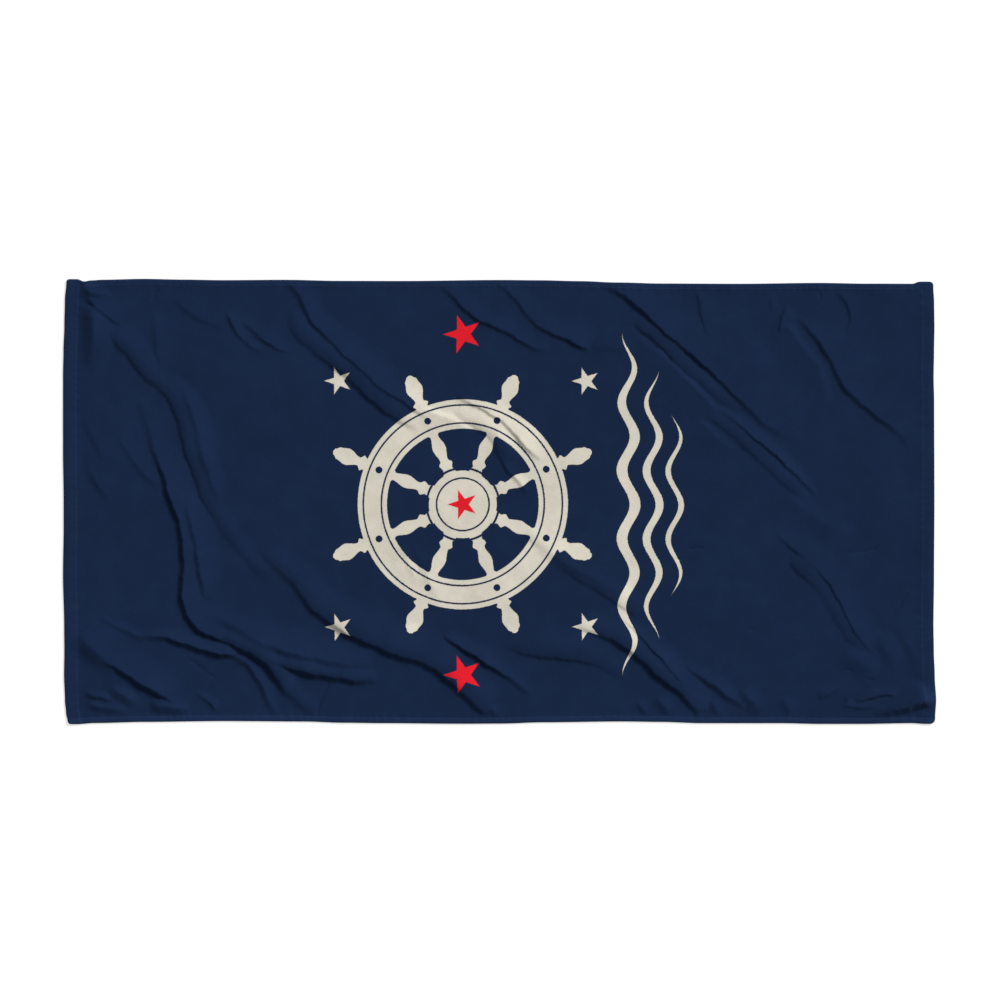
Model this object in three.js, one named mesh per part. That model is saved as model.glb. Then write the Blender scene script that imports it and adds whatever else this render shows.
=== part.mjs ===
// A printed beach towel lying wrinkled on a flat surface: one hemmed sheet of velour terry.
// Millimetres, +Z up. X runs along the towel and Y across it, both from its middle, and the
// towel lies on Z = 0.

import * as THREE from "three";

const { lerp, smoothstep, degToRad } = THREE.MathUtils;

// Outer size as it lies. The cloth was cut 1524 by 762, and the wrinkles take up the rest.
const LENGTH = 1492;
const WIDTH = 761;

// The cloth, and its hems, which are turned under twice, sewn and pressed.
const CLOTH_THICKNESS = 2.8;
const HEM_RISE = 1.5;
const CORNER_RISE = 1.4; // what the second hem adds where two hems cross
const END_HEM_WIDTH = 23;
const SIDE_HEM_WIDTH = 10;
const HEM_SLOPE_WIDTH = 2; // the top falls from the hem to the cloth over this width

// The facets: a coarse grid, split in two wherever it strays from the cloth's true surface.
const GRID_CELL = 94;
const SMALLEST_SPLIT = 18; // an edge shorter than this isn't split
const MOST_STRAY = 1.05;
const TEST_SPACING = 6;

// How far each edge is drawn in from the outer size. Columns: place along the edge, drawn in.
const TOP_EDGE = [
  [-727, 0.5],
  [-715, 4.5],
  [-704, 2.6],
  [-682, 1.4],
  [-614, 0],
  [-545, 1.2],
  [-477, 2.2],
  [-374, 1.6],
  [-272, 3.4],
  [-169, 3.6],
  [0, 1.9],
  [70, 2.4],
  [138, 3.8],
  [207, 6.4],
  [275, 7.9],
  [412, 8.4],
  [549, 6.9],
  [634, 8.2],
  [710, 8.4],
  [722, 4.8],
];
const BOTTOM_EDGE = [
  [-730, 0],
  [-699, 1.9],
  [-614, 3.8],
  [-477, 5.3],
  [-340, 4.5],
  [-272, 2.4],
  [-203, 1.7],
  [-67, 0.7],
  [0, 1],
  [70, 3.1],
  [207, 4.6],
  [275, 3.8],
  [344, 1.7],
  [480, 1.7],
  [549, 0.4],
  [617, 0.4],
  [706, 1.7],
  [730, 0.5],
];
const LEFT_EDGE = [
  [-376, 8],
  [-361, 5.2],
  [-340, 3.3],
  [-297, 1.8],
  [-255, 2.3],
  [-212, 2],
  [-126, 0],
  [-41, 1.1],
  [2, 1.1],
  [87, 0],
  [215, 0],
  [258, 0.8],
  [301, 2.3],
  [344, 3.2],
  [376, 5.8],
];
const RIGHT_EDGE = [
  [-371, 1.6],
  [-340, 0],
  [-297, 2.3],
  [-255, 3.9],
  [-212, 4.5],
  [-126, 3.5],
  [2, 2.8],
  [173, 3.3],
  [215, 4.2],
  [258, 3.5],
  [301, 2.8],
  [344, 3.3],
  [371, 4.7],
];
const CORNER_RADIUS = { topLeft: 5, topRight: 7, bottomLeft: 6, bottomRight: 9 };

// The folds. A fold is a ridge with a steep side and a soft one. `line` follows the middle of the
// steep side and gives the ridge's height at each point, as X, Y, height. The soft side lies on the
// left of the line's way and is as wide as `soft`. The steep side is as wide as `steep`, where a row
// gives it, or else as the width named here.
const STEEP_SIDE = 14;
const FOLDS = [
  {
    name: "top right, outer",
    soft: 44,
    line: [[173, 364, 0], [210, 351, 5.5], [296, 272, 8.5], [366, 212, 6.5], [446, 135, 3], [518, 89, 0]],
  },
  {
    name: "top right, lit band",
    soft: 50,
    line: [[385, 150, 0], [344, 188, 5], [310, 223, 4.5], [258, 268, 2.5], [220, 300, 0]],
  },
  {
    name: "top right, inner",
    soft: 16,
    line: [[364, 164, 0], [422, 117, 5], [467, 79, 5.5], [508, 41, 3.5], [545, 2, 0]],
  },
  {
    name: "top right, innermost",
    soft: 40,
    line: [[344, 156, 0], [395, 113, 3], [457, 55, 2.5], [525, -8, 0]],
  },
  {
    name: "right, upper",
    soft: 44,
    line: [[504, 317, 0], [542, 274, 4.5], [583, 200, 5], [614, 166, 5], [655, 135, 4], [713, 65, 0]],
  },
  {
    name: "right, lit band beside it",
    steep: 16,
    soft: 40,
    line: [[573, 160, 0], [542, 240, 3], [515, 274, 3.5], [477, 320, 0]],
  },
  {
    name: "right, lower",
    soft: 28,
    line: [[467, -54, 0], [518, -97, 3.5], [569, -152, 4], [600, -215, 4], [638, -265, 0]],
  },
  {
    name: "right, lower, inner",
    soft: 40,
    line: [[487, -99, 0], [520, -130, 3], [556, -172, 1.5], [593, -237, 2], [631, -265, 0]],
  },
  {
    name: "bottom right corner",
    steep: 10,
    soft: 30,
    line: [[640, -360, 0], [684, -363, 5.5], [710, -356, 9.5], [728, -345, 7], [736, -338, 0]],
  },
  {
    name: "bottom, right of the middle",
    soft: 44,
    line: [
      [125, -208, 0],
      [173, -231, 5.5],
      [231, -265, 8.5],
      [299, -323, 8.5],
      [335, -359, 4.5],
      [347, -371, 0],
    ],
  },
  {
    name: "bottom, right of the middle, outer",
    soft: 24,
    line: [[202, -198, 0], [241, -234, 6.5], [272, -268, 9.5], [306, -306, 8], [323, -318, 0]],
  },
  {
    name: "bottom right, short",
    soft: 16,
    line: [[306, -273, 0], [347, -306, 5], [388, -335, 4.5], [426, -361, 0]],
  },
  {
    name: "middle, lower right",
    steep: 20,
    soft: 40,
    line: [[36, -54, 0], [97, -104, 4], [150, -137, 4.5], [202, -176, 3], [241, -207, 0]],
  },
  {
    name: "bottom, middle, flat",
    soft: 60,
    line: [[2, -246, 0], [43, -261, 4], [115, -271, 5], [173, -284, 2.5], [221, -306, 0]],
  },
  {
    name: "bottom, middle",
    soft: 18,
    line: [[-101, -227, 0], [-63, -255, 8.5], [-12, -286, 7], [39, -321, 2.5], [56, -335, 0]],
  },
  {
    name: "long one to the bottom",
    steep: 16,
    soft: 56,
    line: [
      [-426, -73, 0],
      [-374, -121, 3],
      [-323, -183, 7],
      [-238, -239, 10],
      [-149, -273, 10],
      [-74, -321, 9],
      [-31, -359, 6],
      [-17, -369, 0],
    ],
  },
  {
    name: "middle, upper, outer",
    soft: 22,
    line: [[-80, 183, 0], [-39, 161, 4.5], [12, 126, 5], [56, 79, 3], [77, 67, 0]],
  },
  {
    name: "middle, upper, inner",
    soft: 44,
    line: [[-84, 149, 0], [-36, 123, 2.5], [2, 72, 2.5], [26, 37, 3], [50, 8, 0]],
  },
  {
    name: "top, right of the middle",
    soft: 26,
    line: [[-9, 368, 0], [32, 337, 3], [74, 293, 4], [132, 267, 6], [168, 255, 0]],
  },
  {
    name: "top, middle",
    soft: 22,
    line: [[-101, 370, 0], [-67, 332, 4.5], [-9, 296, 5], [53, 263, 3], [94, 260, 0]],
  },
  {
    name: "top left, outer",
    soft: 30,
    line: [[-364, 375, 0], [-340, 341, 5], [-286, 266, 6], [-207, 193, 7], [-152, 157, 5.5], [-115, 139, 0]],
  },
  {
    name: "top left, inner",
    soft: 60,
    line: [[-361, 334, 0], [-352, 288, 3], [-303, 244, 4], [-231, 182, 6], [-180, 142, 5], [-132, 113, 0]],
  },
  {
    name: "top left, lit band at its end",
    soft: 32,
    line: [[-43, 118, 0], [-84, 145, 3.5], [-145, 170, 4], [-186, 197, 0]],
  },
  {
    name: "long one down the left",
    soft: 46,
    line: [
      [-693, 306, 0],
      [-652, 264, 3.5],
      [-583, 192, 3.5],
      [-544, 113, 4.5],
      [-520, 36, 4],
      [-470, -56, 2],
      [-392, -147, 0],
    ],
  },
  {
    name: "left, upper, short",
    steep: 16,
    soft: 18,
    line: [[-552, 200, 0], [-525, 140, 4], [-506, 64, 4], [-479, -8, 0]],
  },
  {
    name: "left corner, upper",
    soft: 28,
    line: [[-716, 360, 0], [-687, 326, 5], [-669, 312, 4.5], [-645, 295, 0]],
  },
  {
    name: "beside the left hem",
    steep: 26,
    soft: 60,
    line: [[-705, 338, 0], [-706, 293, 10], [-707, 246, 0]],
  },
  {
    name: "left, the highest",
    soft: 40,
    line: [
      [-617, 180, 0],
      [-587, 72, 5],
      [-560, -10, 9.5],
      [-542, -104, 9.5],
      [-539, -188, 9.5],
      [-501, -228, 9.5],
      [-460, -246, 0],
    ],
  },
  {
    name: "left, right of the highest",
    soft: 26,
    line: [[-549, 12, 0], [-532, -29, 7], [-518, -97, 8], [-509, -152, 5.5], [-506, -174, 0]],
  },
  {
    name: "bottom left, broad",
    steep: 20,
    soft: 30,
    line: [
      [-515, -179, 0],
      [-474, -208, 6.5],
      [-409, -244, 12],
      [-340, -266, 11.5],
      [-268, -281, 7.5],
      [-212, -278, 0],
    ],
  },
  {
    name: "bottom left, running in",
    soft: 16,
    line: [
      [-689, -198, 0],
      [-614, -234, 3],
      [-569, -235, 7],
      [-518, -253, 10],
      [-463, -264, 9.5],
      [-443, -270, 0],
    ],
  },
  {
    name: "bottom left, running down",
    steep: 17,
    soft: 40,
    line: [
      [-490, -230, 0],
      [-443, -255, 11.5],
      [-398, -283, 12.5],
      [-371, -321, 6.5],
      [-340, -350, 3.5],
      [-313, -369, 0],
    ],
  },
  {
    name: "bottom left, fork",
    soft: 12,
    line: [[-467, -258, 0], [-429, -284, 5], [-405, -323, 5], [-383, -367, 0]],
  },
  {
    name: "bottom left, running right",
    soft: 54,
    line: [[-402, -266, 0], [-366, -286, 13], [-296, -301, 11.5], [-238, -309, 7], [-200, -305, 0]],
  },
  {
    name: "bottom left corner",
    steep: 17,
    soft: 32,
    line: [
      [-725, -222, 0],
      [-712, -247, 6],
      [-662, -284, 9.5],
      [-600, -321, 11.5],
      [-566, -343, 6],
      [-535, -366, 0],
    ],
  },
];
const STEPS_PER_SPAN = 6; // a fold's line is a smooth curve, followed in this many steps a span
const CREST_BLEND = 4; // the higher, the less crossing folds build up on each other

// Broad low swells, where the cloth stands off the surface. The reach is half the swell's size,
// along its own long way and across it, and the turn is that way's angle from X in degrees.
const SWELLS = [
  { name: "left end", x: -650, y: 60, along: 150, across: 60, turn: 100, height: 3 },
  { name: "top left", x: -450, y: 200, along: 150, across: 80, turn: -50, height: 3 },
  { name: "top right", x: 420, y: 235, along: 170, across: 55, turn: -50, height: 4 },
  { name: "right end", x: 655, y: -20, along: 150, across: 50, turn: 95, height: 3 },
  { name: "bottom right", x: 420, y: -200, along: 130, across: 70, turn: -30, height: 2.5 },
];

// How far an edge is drawn in at a place along it, eased from each row of its table to the next.
function drawnIn(edge, place) {
  const next = edge.findIndex(([at]) => at > place);
  if (next === 0) return edge[0][1];
  if (next < 0) return edge.at(-1)[1];
  const [fromAt, from] = edge[next - 1];
  const [toAt, to] = edge[next];
  return lerp(from, to, smoothstep(place, fromAt, toAt));
}

// A point of the cloth's plain rectangle, moved in where it is closer to a corner than its radius.
function roundCorner(u, v) {
  const corner = (v > 0 ? "top" : "bottom") + (u > 0 ? "Right" : "Left");
  const radius = CORNER_RADIUS[corner];
  const a = Math.abs(u) - (LENGTH / 2 - radius);
  const b = Math.abs(v) - (WIDTH / 2 - radius);
  if (a <= 0 || b <= 0) return [u, v];
  const pull = 1 - Math.max(a, b) / Math.hypot(a, b);
  return [u - Math.sign(u) * a * pull, v - Math.sign(v) * b * pull];
}

// Where a point of the plain rectangle lies once the four edges have their true, uneven lines.
function planPosition(u, v) {
  const [roundU, roundV] = roundCorner(u, v);
  const fromLeft = u / LENGTH + 0.5;
  const fromBottom = v / WIDTH + 0.5;
  return [
    roundU + lerp(drawnIn(LEFT_EDGE, v), -drawnIn(RIGHT_EDGE, v), fromLeft),
    roundV + lerp(drawnIn(BOTTOM_EDGE, u), -drawnIn(TOP_EDGE, u), fromBottom),
  ];
}

// A fold with its line as short straight steps, and the box outside which it raises nothing.
function preparedFold({ line, steep = STEEP_SIDE, soft }) {
  const points = line.map(([x, y, height]) => new THREE.Vector3(x, y, height));
  const curve = new THREE.CatmullRomCurve3(points, false, "catmullrom", 0.5);
  const steps = curve.getPoints(STEPS_PER_SPAN * (line.length - 1));
  const box = new THREE.Box3().setFromPoints(steps).expandByScalar(steep / 2 + soft);
  return { steps, steep, soft, box };
}

const preparedFolds = FOLDS.map(preparedFold);

// The height that one fold gives the cloth at a point.
function foldHeight({ steps, steep, soft, box }, x, y) {
  if (x < box.min.x || x > box.max.x || y < box.min.y || y > box.max.y) return 0;
  let nearest = Infinity;
  let across = 0;
  let height = 0;
  for (let i = 1; i < steps.length; i++) {
    const start = steps[i - 1];
    const runX = steps[i].x - start.x;
    const runY = steps[i].y - start.y;
    const share = ((x - start.x) * runX + (y - start.y) * runY) / (runX * runX + runY * runY);
    const t = Math.min(Math.max(share, 0), 1);
    const offX = x - start.x - t * runX;
    const offY = y - start.y - t * runY;
    const distance = Math.hypot(offX, offY);
    if (distance < nearest) {
      nearest = distance;
      across = runX * offY > runY * offX ? distance : -distance;
      height = lerp(start.z, steps[i].z, t);
    }
  }
  const climb = smoothstep(across, -steep / 2, steep / 2);
  const fall = smoothstep(across, steep / 2, steep / 2 + soft);
  return Math.max(height, 0) * (climb - fall);
}

function swellHeight({ x: centreX, y: centreY, along, across, turn, height }, x, y) {
  const cos = Math.cos(degToRad(turn));
  const sin = Math.sin(degToRad(turn));
  const a = ((x - centreX) * cos + (y - centreY) * sin) / along;
  const b = ((y - centreY) * cos - (x - centreX) * sin) / across;
  return height * Math.max(1 - a * a - b * b, 0) ** 2;
}

// How far the cloth's underside stands off the surface that it lies on.
function lift(x, y) {
  const swells = SWELLS.reduce((sum, swell) => sum + swellHeight(swell, x, y), 0);
  const folds = preparedFolds.reduce((sum, fold) => sum + foldHeight(fold, x, y) ** CREST_BLEND, 0);
  return swells + folds ** (1 / CREST_BLEND);
}

// The cloth's thickness: plain inside the hems, and more on them and where they cross.
function thickness(u, v) {
  const half = HEM_SLOPE_WIDTH / 2;
  const fromEnd = LENGTH / 2 - Math.abs(u) - END_HEM_WIDTH;
  const fromSide = WIDTH / 2 - Math.abs(v) - SIDE_HEM_WIDTH;
  const onEndHem = 1 - smoothstep(fromEnd, -half, half);
  const onSideHem = 1 - smoothstep(fromSide, -half, half);
  const onHem = Math.max(onEndHem, onSideHem);
  const onBoth = Math.min(onEndHem, onSideHem);
  return CLOTH_THICKNESS + HEM_RISE * onHem + CORNER_RISE * onBoth;
}

// A point of the towel's top, with the height of its underside as `under`.
function surfacePoint(u, v) {
  const [x, y] = planPosition(u, v);
  const under = lift(x, y);
  return { u, v, x, y, z: under + thickness(u, v), under };
}

// The lines of the coarse grid across one size of the towel: the hem, its slope, then even cells.
function gridLines(size, hemWidth) {
  const hemLine = size / 2 - hemWidth;
  const inner = hemLine - HEM_SLOPE_WIDTH / 2;
  const outer = hemLine + HEM_SLOPE_WIDTH / 2;
  const cells = Math.round((2 * inner) / GRID_CELL);
  const between = Array.from({ length: cells + 1 }, (_, i) => lerp(-inner, inner, i / cells));
  return [-size / 2, -outer, ...between, outer, size / 2];
}

// The coarse grid as triangles [tip, left, right], each with its longest edge from left to right.
function coarseGrid() {
  const us = gridLines(LENGTH, END_HEM_WIDTH);
  const vs = gridLines(WIDTH, SIDE_HEM_WIDTH);
  const points = vs.flatMap((v) => us.map((u) => surfacePoint(u, v)));
  const triangles = [];
  for (let row = 1; row < vs.length; row++) {
    for (let column = 1; column < us.length; column++) {
      const topRight = row * us.length + column;
      const topLeft = topRight - 1;
      const bottomRight = topRight - us.length;
      const bottomLeft = bottomRight - 1;
      if ((row + column) % 2) {
        triangles.push([bottomRight, topRight, bottomLeft], [topLeft, bottomLeft, topRight]);
      } else {
        triangles.push([topRight, topLeft, bottomRight], [bottomLeft, bottomRight, topLeft]);
      }
    }
  }
  return { points, triangles };
}

// Whether the true surface strays from a flat facet anywhere on it.
function straysFrom([a, b, c]) {
  const longest = Math.hypot(c.x - b.x, c.y - b.y);
  if (longest < SMALLEST_SPLIT) return false;
  const steps = Math.ceil(longest / TEST_SPACING);
  for (let i = 0; i <= steps; i++) {
    for (let j = 0; i + j <= steps; j++) {
      const mix = (key) => (a[key] * i + b[key] * j + c[key] * (steps - i - j)) / steps;
      const [x, y] = planPosition(mix("u"), mix("v"));
      const stray = Math.hypot(x - mix("x"), y - mix("y"), lift(x, y) - mix("under"));
      if (stray > MOST_STRAY) return true;
    }
  }
  return false;
}

// Splits the grid's triangles across their longest edges until every facet follows the cloth. A
// split edge splits the triangles on both its sides, so no crack opens between them.
function refine({ points, triangles }) {
  const settled = new WeakSet();
  const edgeName = (a, b) => (a < b ? `${a} ${b}` : `${b} ${a}`);
  for (;;) {
    const split = new Map();
    const splitEdge = (a, b) => {
      const middle = surfacePoint((points[a].u + points[b].u) / 2, (points[a].v + points[b].v) / 2);
      split.set(edgeName(a, b), points.push(middle) - 1);
    };
    for (const triangle of triangles) {
      if (settled.has(triangle)) continue;
      const [, left, right] = triangle;
      if (!straysFrom(triangle.map((i) => points[i]))) settled.add(triangle);
      else if (!split.has(edgeName(left, right))) splitEdge(left, right);
    }
    if (!split.size) return { points, triangles };
    for (let before = 0; before < split.size; ) {
      before = split.size;
      for (const [tip, left, right] of triangles) {
        const sideSplit = split.has(edgeName(tip, left)) || split.has(edgeName(tip, right));
        if (sideSplit && !split.has(edgeName(left, right))) splitEdge(left, right);
      }
    }
    const halves = (triangle) => {
      const [tip, left, right] = triangle;
      const middle = split.get(edgeName(left, right));
      if (middle === undefined) return [triangle];
      return [...halves([middle, tip, left]), ...halves([middle, right, tip])];
    };
    triangles = triangles.flatMap(halves);
  }
}

// The closed sheet: the facets on top, the same ones turned over beneath them, and the rim between.
function sheetGeometry() {
  const { points, triangles } = refine(coarseGrid());
  const underneath = points.length;
  const faces = [...triangles];
  const rim = new Map();
  for (const [a, b, c] of triangles) {
    faces.push([a + underneath, c + underneath, b + underneath]);
    for (const [from, to] of [[a, b], [b, c], [c, a]]) {
      if (!rim.delete(`${to} ${from}`)) rim.set(`${from} ${to}`, [from, to]);
    }
  }
  for (const [from, to] of rim.values()) {
    faces.push([from, from + underneath, to + underneath], [from, to + underneath, to]);
  }
  const top = points.flatMap(({ x, y, z }) => [x, y, z]);
  const bottom = points.flatMap(({ x, y, under }) => [x, y, under]);
  const geometry = new THREE.BufferGeometry();
  geometry.setAttribute("position", new THREE.Float32BufferAttribute([...top, ...bottom], 3));
  geometry.setIndex(faces.flat());
  geometry.computeVertexNormals();
  return geometry;
}

const navyVelour = new THREE.MeshStandardMaterial({ color: 0x1a2744, roughness: 0.95, metalness: 0 });

const towel = new THREE.Mesh(sheetGeometry(), navyVelour);
towel.name = "towel";

const beachTowel = new THREE.Group();
beachTowel.add(towel);

export default beachTowel;
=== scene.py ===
"""A printed velour beach towel that lies softly wrinkled and is seen from straight above.

The frame holds the towel as a plain solid. Here it gets its cloth, with the folds, the sewn hems
and the print, then the rows of hem stitches, and a plain pale stage."""

import math
import operator
from collections import namedtuple
from functools import reduce

import bpy
import numpy as np
from bpy.props import FloatProperty, FloatVectorProperty, IntProperty, PointerProperty
from bpy.types import Node, NodeSocket, Operator, Panel, PropertyGroup
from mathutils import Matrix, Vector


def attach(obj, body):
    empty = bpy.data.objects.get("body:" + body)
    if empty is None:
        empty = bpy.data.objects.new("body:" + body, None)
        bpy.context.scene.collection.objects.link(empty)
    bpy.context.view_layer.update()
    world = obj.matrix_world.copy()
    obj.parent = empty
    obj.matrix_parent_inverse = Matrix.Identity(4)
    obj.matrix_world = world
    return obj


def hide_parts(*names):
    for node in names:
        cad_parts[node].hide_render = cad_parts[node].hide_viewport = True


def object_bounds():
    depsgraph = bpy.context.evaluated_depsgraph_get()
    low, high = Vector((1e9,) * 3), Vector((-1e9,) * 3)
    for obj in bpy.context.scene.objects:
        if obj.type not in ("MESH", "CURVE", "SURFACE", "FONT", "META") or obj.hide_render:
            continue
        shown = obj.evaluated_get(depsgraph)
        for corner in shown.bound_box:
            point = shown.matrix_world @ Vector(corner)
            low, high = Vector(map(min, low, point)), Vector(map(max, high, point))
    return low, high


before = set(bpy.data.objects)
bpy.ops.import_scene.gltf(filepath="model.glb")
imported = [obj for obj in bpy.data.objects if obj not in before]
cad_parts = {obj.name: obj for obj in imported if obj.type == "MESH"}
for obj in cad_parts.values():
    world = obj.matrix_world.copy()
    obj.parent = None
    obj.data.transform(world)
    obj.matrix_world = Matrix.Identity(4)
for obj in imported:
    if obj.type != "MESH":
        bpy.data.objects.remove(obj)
CAD_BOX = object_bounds()

bl_info = {
    "name": "Beach towel",
    "version": (1, 0, 0),
    "blender": (4, 5, 0),
    "location": "3D View > Sidebar > Beach towel",
    "description": "Makes a wrinkled, hemmed and printed beach towel on a plain stage",
    "category": "Add Mesh",
}

# Lengths in the tables are millimetres, and Blender's are metres.
MM = 0.001

# The outer size of the towel as it lies: the CAD towel's, in whole millimetres.
LENGTH, WIDTH, _ = (round((high - low) / MM) for low, high in zip(*CAD_BOX))

# How far each edge is drawn in from that size. Columns: place along the edge, drawn in.
TOP_EDGE = (
    (-727, 0.5), (-715, 4.5), (-704, 2.6), (-682, 1.4), (-614, 0), (-545, 1.2), (-477, 2.2),
    (-374, 1.6), (-272, 3.4), (-169, 3.6), (0, 1.9), (70, 2.4), (138, 3.8), (207, 6.4), (275, 7.9),
    (412, 8.4), (549, 6.9), (634, 8.2), (710, 8.4), (722, 4.8),
)
BOTTOM_EDGE = (
    (-730, 0), (-699, 1.9), (-614, 3.8), (-477, 5.3), (-340, 4.5), (-272, 2.4), (-203, 1.7),
    (-67, 0.7), (0, 1), (70, 3.1), (207, 4.6), (275, 3.8), (344, 1.7), (480, 1.7), (549, 0.4),
    (617, 0.4), (706, 1.7), (730, 0.5),
)
LEFT_EDGE = (
    (-376, 8), (-361, 5.2), (-340, 3.3), (-297, 1.8), (-255, 2.3), (-212, 2), (-126, 0), (-41, 1.1),
    (2, 1.1), (87, 0), (215, 0), (258, 0.8), (301, 2.3), (344, 3.2), (376, 5.8),
)
RIGHT_EDGE = (
    (-371, 1.6), (-340, 0), (-297, 2.3), (-255, 3.9), (-212, 4.5), (-126, 3.5), (2, 2.8),
    (173, 3.3), (215, 4.2), (258, 3.5), (301, 2.8), (344, 3.3), (371, 4.7),
)
CornerRadius = namedtuple("CornerRadius", "top_left top_right bottom_left bottom_right")
CORNER_RADIUS = CornerRadius(5, 7, 6, 9)

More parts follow.
